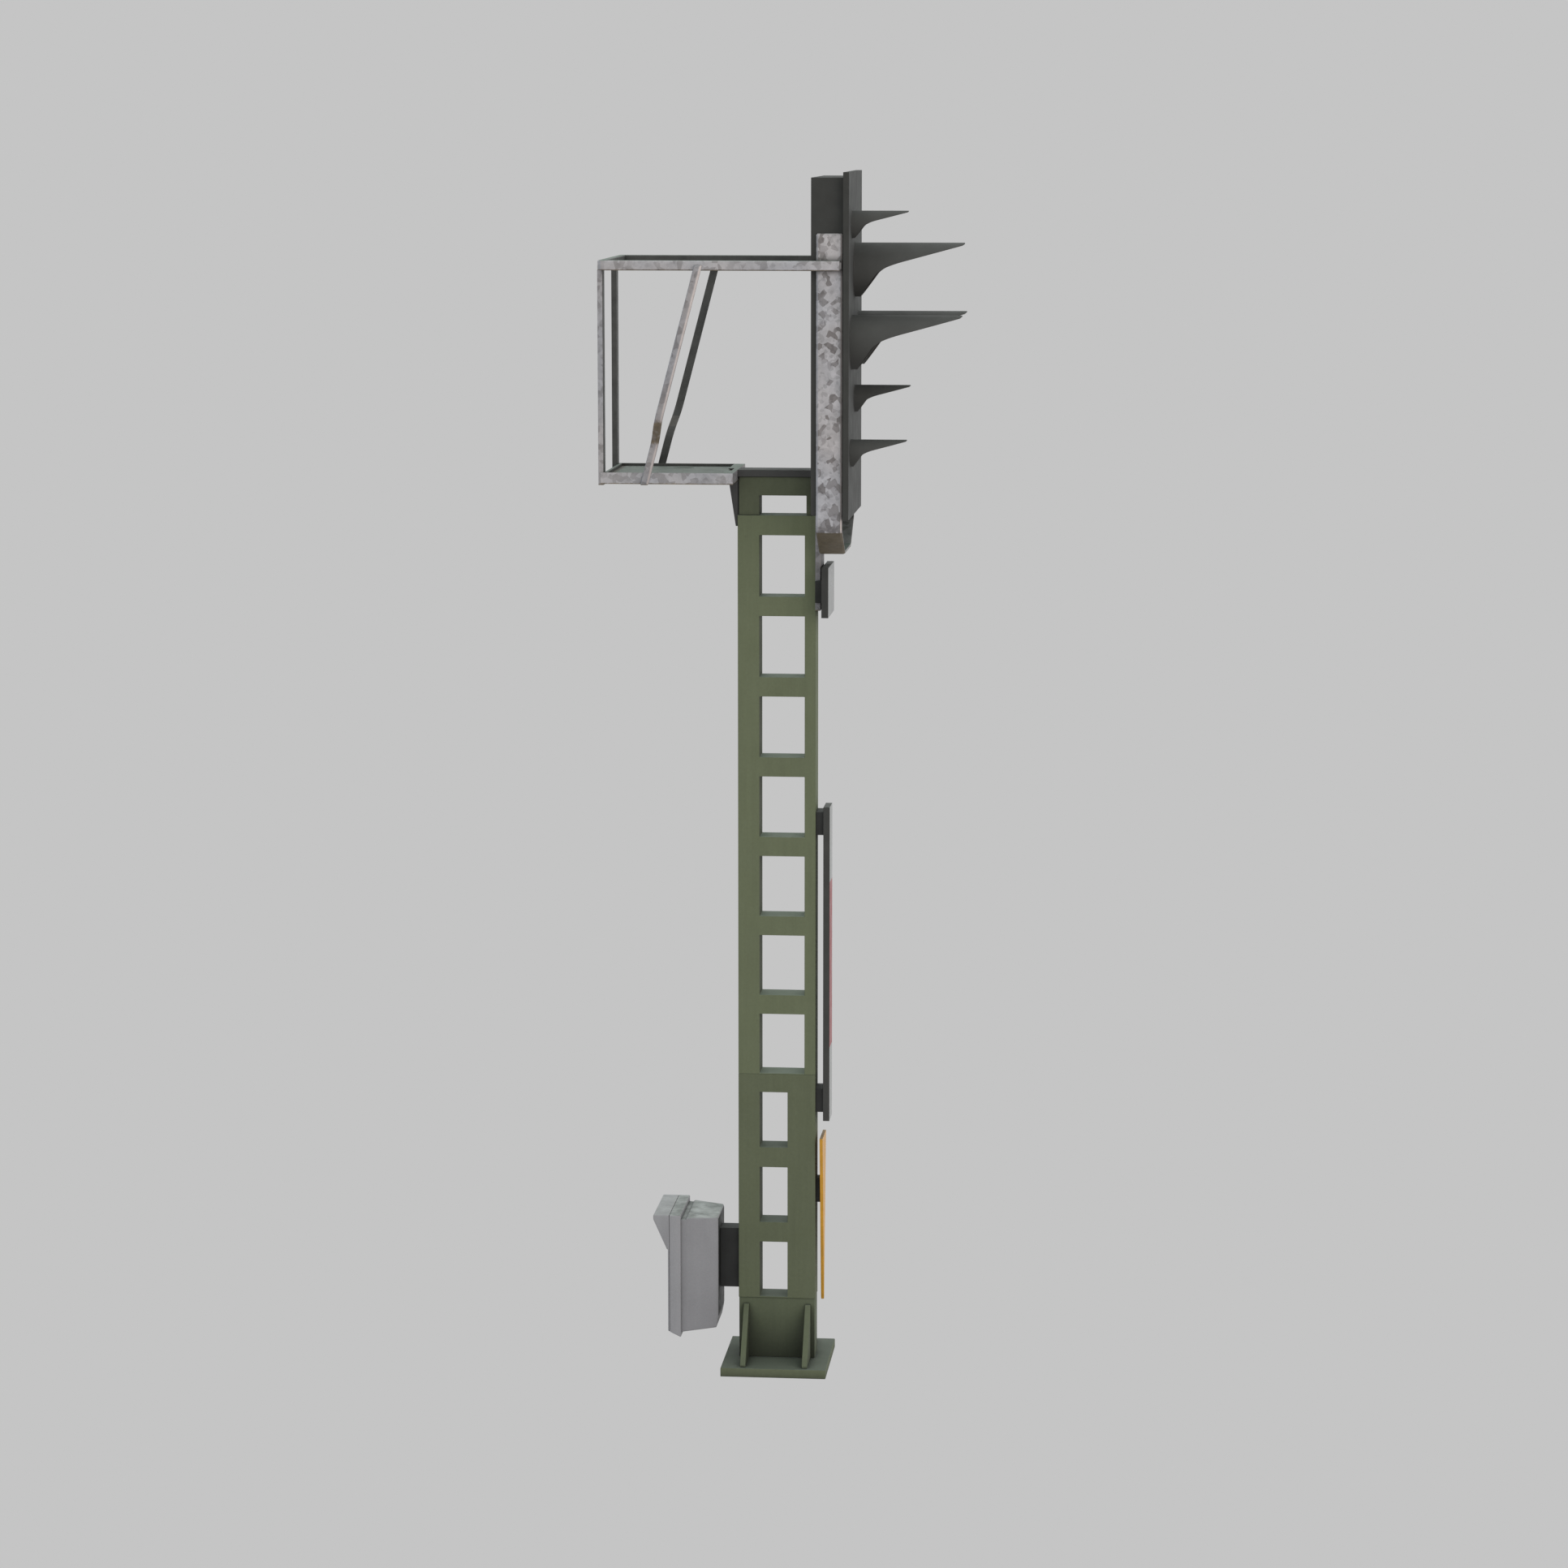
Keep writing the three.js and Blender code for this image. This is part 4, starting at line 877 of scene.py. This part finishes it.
def build_ladder(node, window_front, windows, material):
    """A box section with windows straight through it, in quads so that its edges can be rounded."""
    low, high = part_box(node)
    xs = [low.x, WINDOW_REAR, window_front, high.x]
    zs = [low.z, *[z for window in windows for z in window], high.z]
    sides = (low.y, high.y)
    index, vertices = {}, []
    for side, y in enumerate(sides):
        for i, x in enumerate(xs):
            for k, z in enumerate(zs):
                index[side, i, k] = len(vertices)
                vertices.append((x, y, z))

    def across(i0, k0, i1, k1):
        """The face that runs through the section between two neighbouring grid points."""
        return (index[0, i0, k0], index[0, i1, k1], index[1, i1, k1], index[1, i0, k0])

    faces = []
    for i in range(3):
        for k in range(len(zs) - 1):
            is_window = i == 1 and k % 2 == 1
            if is_window:
                corners = [(i, k), (i + 1, k), (i + 1, k + 1), (i, k + 1)]
                for (a, b), (c, d) in zip(corners, corners[1:] + corners[:1]):
                    faces.append(across(a, b, c, d))
                continue
            for side in (0, 1):
                faces.append((index[side, i, k], index[side, i + 1, k],
                              index[side, i + 1, k + 1], index[side, i, k + 1]))
    top = len(zs) - 1
    for i in range(3):
        faces += [across(i, 0, i + 1, 0), across(i, top, i + 1, top)]
    for k in range(top):
        faces += [across(0, k, 0, k + 1), across(3, k, 3, k + 1)]
    ladder = make_piece(f"{node}_skin", (vertices, faces), material, material)
    bevel_edges(ladder, 1.8 * MM)
    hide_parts(node)


def build_mast():
    lower, upper = window_column(*LOWER_WINDOWS), window_column(*UPPER_WINDOWS)
    build_ladder("mast_lower_section", LOWER_WINDOW_FRONT, lower, "dark_green")
    build_ladder("mast_upper_section", UPPER_WINDOW_FRONT, upper, "mast_green")


# ---- bent bars

BAND_THICKNESS, RAIL_THICKNESS, STRUT_THICKNESS = 15 * MM, 35 * MM, 10 * MM
BAND_CHAMFER_Y, BAND_CHAMFER_Z = 0.175, 4.058
JOGGLE_LOW, JOGGLE_HIGH = 4.467, 4.568
STRUT_LEAN = 0.2625  # along X for each metre of height

# A strut's section in millimetres, as (sideways, along X), with its wide chamfer at the front
STRUT_SECTION = [(0.0, 0.5), (-0.5, 0.0), (-6.5, 0.0), (-10.0, 3.5), (-10.0, 23.0),
                 (-6.5, 31.5), (-1.5, 37.0), (0.0, 36.5)]

def bar_section(outer, inner, low, high, outer_bevel, inner_bevel):
    """A flat bar's section with wide soft bevels on its outer face."""
    sign = 1 if inner > outer else -1
    wide, deep = outer_bevel
    points = [
        (outer + sign * deep, low), (outer, low + wide),
        (outer, high - wide), (outer + sign * deep, high),
        (inner - sign * inner_bevel, high), (inner, high - inner_bevel),
        (inner, low + inner_bevel), (inner - sign * inner_bevel, low),
    ]
    return [tuple(point) for point in rounded(points, 2.0 * MM, 3)]


def build_head_band():
    low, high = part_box("head_band")
    corners = [
        (low.y, high.z), (low.y, BAND_CHAMFER_Z), (-BAND_CHAMFER_Y, low.z),
        (BAND_CHAMFER_Y, low.z), (high.y, BAND_CHAMFER_Z), (high.y, high.z),
    ]
    path = rounded(corners, 14 * MM, 4, closed=False)
    section = bar_section(0.0, BAND_THICKNESS, low.x, high.x, (9 * MM, 5 * MM), 2 * MM)
    bar = sweep(path, section, lambda y, z, x: Vector((x, y, z)), 6 * MM)
    stand_in("head_band", "head_band_bar", bar, "zinc_band", "galvanised_steel")


def build_guard_rail():
    low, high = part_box("guard_rail")
    corners = [(high.x, low.y), (low.x, low.y), (low.x, high.y), (high.x, high.y)]
    path = rounded(corners, 30 * MM, 6, closed=False)
    section = bar_section(0.0, -RAIL_THICKNESS, low.z, high.z, (5 * MM, 5 * MM), 4 * MM)
    bar = sweep(path, section, lambda x, y, z: Vector((x, y, z)), 9 * MM)
    stand_in("guard_rail", "guard_rail_bar", bar, "zinc_rail", "galvanised_steel")


def build_struts():
    """Flat bars with smooth joggles. Each leans forward and has one wide chamfer along its front edge."""
    section = [(sideways * MM, along * MM) for sideways, along in STRUT_SECTION]
    for name, side in (("rail_strut_left", -1), ("rail_strut_right", 1)):
        low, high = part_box(name)
        inner_low = min(abs(low.y), abs(high.y))
        inner_high = max(abs(low.y), abs(high.y)) - STRUT_THICKNESS
        corners = [(inner_low, low.z), (inner_low, JOGGLE_LOW),
                   (inner_high, JOGGLE_HIGH), (inner_high, high.z)]
        path = rounded(corners, 45 * MM, 6, closed=False)

        def place(y, z, x):
            return Vector((low.x + x + STRUT_LEAN * (z - low.z), side * y, z))

        bar = sweep(path, section, place, 4 * MM)
        stand_in(name, f"{name}_bar", bar, "zinc_strut", "galvanised_steel")


def build_finger_pull():
    """A dark dish under the slot in the floor hatch."""
    centre = Vector((-0.466, 0.182))
    rim_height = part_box("platform_floor_hatch")[1].z - 16 * MM
    inner = [(0.049, 0.014, 12.5 * MM), (0.0585, 0.0225, 8 * MM), (0.0605, 0.0245, 0.0)]
    outer = [(0.062, 0.026, 0.0), (0.060, 0.024, 9 * MM), (0.050, 0.015, 14 * MM)]
    rings = []
    for half_length, half_width, depth in inner + outer:
        rings.append([Vector((centre.x + half_length * cosine, centre.y + half_width * sine,
                              rim_height - depth)) for cosine, sine in circle(32)])
    make_piece("floor_finger_pull", loft(rings), "gasket", "floor_sheet", "floor_hatch")


# ---- telephone box

TAPER_START = -0.451
LOWER_CORNER = -0.287
PHONE_TOP = 0.766
PHONE_HALF_WIDTH = 0.205
DOOR_BACK, DOOR_FRONT = -0.5045, -0.511
HINGE_Y = 0.211
HINGE_HEIGHTS = (0.300, 0.660)
LOCK_Y, LOCK_Z, LOCK_HOLE_RADIUS = -0.140, 0.470, 11.5 * MM
HANDSET_X = -0.353
HANDSET_CUP_HEIGHTS = (0.410, 0.580)


def box_ring(x, half_width, bottom, top, radius, inset=0.0):
    """A rounded rectangle across X, drawn inset from the given size."""
    half, low, high = half_width - inset, bottom + inset, top - inset
    corners = rounded(rectangle(-half, low, half, high), radius)
    return [Vector((x, corner.x, corner.y)) for corner in corners]


def between(x, x0, value0, x1, value1):
    return value0 + (value1 - value0) * (x - x0) / (x1 - x0)


def body_size(x):
    """Half width, bottom and top of the tapered body."""
    half_width = between(x, TAPER_START, 0.188, BODY_BACK, 0.134)
    bottom = between(x, TAPER_START, 0.188, LOWER_CORNER, 0.201)
    if x > LOWER_CORNER:
        bottom = between(x, LOWER_CORNER, 0.201, BODY_BACK, 0.254)
    top = between(x, TAPER_START, 0.751, BODY_BACK, 0.743)
    return half_width, bottom, top


def body_ring(x, inset=0.0, sink=0.0):
    half_width, bottom, top = body_size(x)
    return box_ring(x, half_width, bottom, top - sink, 7 * MM, inset)


def collar_ring(x, inset=0.0):
    bottom = between(x, COLLAR_BACK, 0.167, COLLAR_FRONT, 0.193)
    return box_ring(x, PHONE_HALF_WIDTH, bottom, PHONE_TOP, 6 * MM, inset)


def combine(piece, shape, operation):
    """Joins a closed shape to the piece, or cuts it away, and keeps the result as the piece's mesh."""
    tool = add_object("tool", closed_mesh("tool", shape))
    modifier = piece.modifiers.new("combine", "BOOLEAN")
    modifier.operation = operation
    modifier.solver = "EXACT"
    modifier.object = tool
    graph = bpy.context.evaluated_depsgraph_get()
    result = bpy.data.meshes.new_from_object(piece.evaluated_get(graph))
    piece.modifiers.clear()
    piece.data = result
    bpy.data.objects.remove(tool)
    shade_smooth(result, 40)


def prism_across(outline, low, high, bevel):
    """An outline of (x, z) points extruded along Y, with rounded ends."""
    middle = sum(outline, Vector((0, 0))) / len(outline)
    rings = []
    for y, inset in [(low, bevel), (low + bevel * 0.35, bevel * 0.3), (low + bevel, 0.0),
                     (high - bevel, 0.0), (high - bevel * 0.35, bevel * 0.3), (high, bevel)]:
        ring = []
        for point in outline:
            inward = (middle - point).normalized() * inset
            ring.append(Vector((point.x + inward.x, y, point.y + inward.y)))
        rings.append(ring)
    return loft(rings)


def together(shapes):
    """Several closed shapes as one mesh."""
    vertices, faces = [], []
    for shape_vertices, shape_faces in shapes:
        start = len(vertices)
        vertices += shape_vertices
        faces += [tuple(start + i for i in face) for face in shape_faces]
    return vertices, faces


def block(x0, x1, y0, y1, z0, z1, radius):
    """A box with its edges rounded along Z and its ends bevelled."""
    outline = rounded(rectangle(x0, y0, x1, y1), radius, 3)
    middle = Vector(((x0 + x1) / 2, (y0 + y1) / 2))
    rings = []
    half = radius / 2
    for z, inset in [(z0, half), (z0 + half, 0.0), (z1 - half, 0.0), (z1, half)]:
        ring = [point + (middle - point).normalized() * inset for point in outline]
        rings.append([Vector((point.x, point.y, z)) for point in ring])
    return loft(rings)


def upright_ring(low, high, inside, outside):
    """A tube about the door's hinge line, or a rod if it has no inside."""
    profile = rounded([(low, inside), (low, outside), (high, outside), (high, inside)], 0.5 * MM, 2)
    rings = []
    for aside in map(Vector, circle(24)):
        rings.append([Vector((DOOR_BACK + aside.x * p.y, HINGE_Y + aside.y * p.y, p.x)) for p in profile])
    return loft(rings, closed=True)


def hinge_lug(z):
    """Two fixed eyes with a pin between them."""
    half, eye_length = 15.5 * MM, 14 * MM
    shapes = [upright_ring(z - half - eye_length, z + half + eye_length, 0.2 * MM, 3 * MM)]
    for low in (z - half - eye_length, z + half):
        high = low + eye_length
        shapes.append(upright_ring(low, high, 2.8 * MM, 5 * MM))
        shapes.append(block(DOOR_BACK + 3.5 * MM, DOOR_BACK + 16 * MM, 0.204, 0.214, low, high, 1.5 * MM))
    return shapes


def hinge_eye(z):
    """The eye that turns on the pin, and the strap that joins it to the door's edge."""
    half = 15 * MM
    eye = upright_ring(z - half, z + half, 3.4 * MM, 5 * MM)
    strap = block(DOOR_FRONT, DOOR_BACK - MM, 0.203, 0.2078, z - half, z + half, MM)
    return [eye, strap]


def hook(side):
    """One of the two pegs that the handset hangs on."""
    inner, outer = sorted((side * 14 * MM, side * 26 * MM))
    return block(-0.350, -0.281, inner, outer, 0.540, 0.555, 3 * MM)


def build_phone_case():
    """One skin: round the outside from the back to the collar, then in through it and back."""
    opening = (0.160, 0.235, 0.725, 20 * MM)
    frame_inside = (0.190, 0.212, 0.758, 8 * MM)
    throat = (0.170, 0.212, 0.740, 10 * MM)
    wall = 6 * MM
    body = [(BODY_BACK, 9, 0), (-0.2772, 3.5, 0), (-0.281, 0.5, 0), (LOWER_CORNER, 0, 0),
            (-0.418, 0, 0), (-0.424, 0, 2), (-0.429, 0, 9), (COLLAR_BACK, 0, 9)]
    collar = [(COLLAR_BACK, 3), (-0.451, 1), (-0.453, 0), (-0.501, 0), (-0.503, 1), (COLLAR_FRONT, 3)]
    rings = [
        *[body_ring(x, inset * MM, sink * MM) for x, inset, sink in body],
        *[collar_ring(x, inset * MM) for x, inset in collar],
        box_ring(COLLAR_FRONT, *opening),
        box_ring(COLLAR_FRONT + 4 * MM, *opening),
        box_ring(COLLAR_FRONT + 4 * MM, *frame_inside),
        box_ring(COLLAR_BACK - wall, *frame_inside),
        box_ring(COLLAR_BACK - wall, *throat),
        box_ring(COLLAR_BACK, *throat),
        body_ring(-0.440, inset=wall + 4 * MM),
        body_ring(LOWER_CORNER, inset=wall),
        body_ring(BODY_BACK - wall, inset=wall + 2 * MM),
    ]
    stand_in("telephone_case", "telephone_case_shell", loft(rings), "telephone_case",
             "telephone_grey", smooth=50)
    hooks = together([hook(side) for side in (-1, 1)])
    make_piece("telephone_case_hooks", hooks, "telephone_case", "telephone_grey")
    lugs = together([shape for z in HINGE_HEIGHTS for shape in hinge_lug(z)])
    make_piece("telephone_case_lugs", lugs, "telephone_door", "telephone_grey")


def build_phone_door():
    """A thin lid with a rounded edge, and a rain hood that stands out from its top."""
    rings = []
    for x, inset in [(DOOR_BACK, 1.2 * MM), (-0.5058, 0.0), (-0.5085, 0.0), (-0.5102, 0.8 * MM),
                     (DOOR_FRONT, 2.6 * MM)]:
        bottom = between(x, DOOR_BACK, 0.194, DOOR_FRONT, 0.197)
        rings.append(box_ring(x, PHONE_HALF_WIDTH, bottom, PHONE_TOP, 6 * MM, inset))
    door = make_piece("telephone_door_lid", loft(rings), "telephone_door", "telephone_grey",
                      "telephone_door")

    hood = [(-0.506, PHONE_TOP), (-0.581, PHONE_TOP), (-0.581, 0.745), (-0.515, 0.598), (-0.506, 0.598)]
    outline = rounded(hood, [0.0, 5 * MM, 6 * MM, 4 * MM, 0.0], 4)
    combine(door, prism_across(outline, -PHONE_HALF_WIDTH, PHONE_HALF_WIDTH, 4 * MM), "UNION")
    hollow = [(-0.500, 0.618), (-0.514, 0.618), (-0.573, 0.749), (-0.573, 0.758), (-0.500, 0.758)]
    hollow = [Vector(point) for point in hollow]
    combine(door, prism_across(hollow, -0.197, 0.197, 1 * MM), "DIFFERENCE")
    lock_hole = [(DOOR_FRONT - MM, LOCK_HOLE_RADIUS), (DOOR_BACK + MM, LOCK_HOLE_RADIUS)]
    lock_centre = Vector((0.0, LOCK_Y, LOCK_Z))
    combine(door, revolve(lock_hole, lock_centre, 48, closed=False), "DIFFERENCE")
    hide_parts("telephone_door")
    eyes = together([shape for z in HINGE_HEIGHTS for shape in hinge_eye(z)])
    make_piece("telephone_door_eyes", eyes, "telephone_door", "telephone_grey", "telephone_door")


def build_handset():
    """A bent grip with a round cup at each end."""
    bend = [(HANDSET_X, 0.402), (-0.373, 0.420), (-0.373, 0.572), (HANDSET_X, 0.590)]
    grip = rounded(bend, 14 * MM, 5, closed=False)
    half_depth, half_width = 9 * MM, 11 * MM
    outline = rectangle(-half_depth, -half_width, half_depth, half_width)
    section = [tuple(point) for point in rounded(outline, 6 * MM, 3)]
    inner_path = [Vector((p.x + half_depth, p.y)) for p in grip]
    bar = sweep(inner_path, section, lambda x, z, y: Vector((x, y, z)), 3 * MM)
    handset = make_piece("telephone_handset_body", bar, "handset", "handset_black", "handset", 50)
    cup = [(0, 0.5), (0, 6), (0, 24), (4, 28), (20, 28), (24, 25),
           (22.5, 20), (24.5, 15), (22.5, 6), (22.5, 0.5)]
    profile = [(x * MM, radius * MM) for x, radius in cup]
    for z in HANDSET_CUP_HEIGHTS:
        centre = Vector((HANDSET_X, 0.0, z))
        combine(handset, revolve(profile, centre, 48, closed=False), "UNION")
    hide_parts("telephone_handset")


# ---- stage, light and camera

def build_floor():
    size = 60.0
    mesh = bpy.data.meshes.new("studio_floor")
    corners = [(x, y, -MM) for x, y in rectangle(-size, -size, size, size)]
    mesh.from_pydata(corners, [], [(0, 1, 2, 3)])
    add_object("studio_floor", mesh)

    mat = new_material("studio_floor")
    diffuse_ray = mat.node("LightPath").outputs["Is Diffuse Ray"]
    colour = mat.mix(diffuse_ray, BACKGROUND, GROUND_BOUNCE)
    glow = mat.node("Emission", {"Color": colour})
    mat.node("OutputMaterial", {"Surface": glow.outputs[0]})
    mesh.materials.append(mat.owner)


def build_world():
    """A pale studio backdrop for the camera, and a soft dome that lights the object."""
    world = bpy.data.worlds.new("studio")
    bpy.context.scene.world = world
    mat = Nodes(world)
    _, _, height = mat.split(mat.direction)
    sky = mat.mix(height, SKY_HORIZON, SKY_TOP)
    camera_ray = mat.node("LightPath").outputs["Is Camera Ray"]
    seen = mat.mix(camera_ray, sky, BACKGROUND)
    light = mat.node("Background", {"Color": seen})
    mat.node("OutputWorld", {"Surface": light.outputs[0]})


def build_softbox():
    """A large warm panel to the front right, which lights the bevels that face it."""
    panel = bpy.data.lights.new("softbox", "AREA")
    panel.shape = "RECTANGLE"
    panel.size, panel.size_y = SOFTBOX_SIZE
    panel.energy = SOFTBOX_WATTS
    panel.color = SOFTBOX_COLOUR
    softbox = add_object("softbox", panel)
    softbox.location = SOFTBOX_PLACE
    softbox.rotation_euler = (MIDDLE - SOFTBOX_PLACE).to_track_quat("-Z", "Y").to_euler()


def build_camera():
    azimuth, elevation = math.radians(CAMERA_AZIMUTH), math.radians(CAMERA_ELEVATION)
    back = Vector((
        math.sin(azimuth) * math.cos(elevation),
        -math.cos(azimuth) * math.cos(elevation),
        math.sin(elevation),
    ))
    data = bpy.data.cameras.new("camera")
    data.lens = CAMERA_LENS
    data.sensor_width = 36.0
    data.clip_start, data.clip_end = 1.0, 200.0
    camera = add_object("camera", data)
    camera.rotation_mode = "QUATERNION"
    camera.location = MIDDLE + AIM_OFFSET + back * CAMERA_DISTANCE
    camera.rotation_quaternion = (-back).to_track_quat("-Z", "Y")
    bpy.context.scene.camera = camera


# ---- assembly

finish_kept_nodes()
for signal_name in SIGNAL_NAMES:
    build_hood(signal_name)
    build_lens(signal_name)
build_mast()
build_head_band()
build_guard_rail()
build_struts()
build_finger_pull()
build_phone_case()
build_phone_door()
build_handset()
build_floor()
build_world()
build_softbox()
build_camera()
bpy.context.scene.view_settings.view_transform = "Standard"
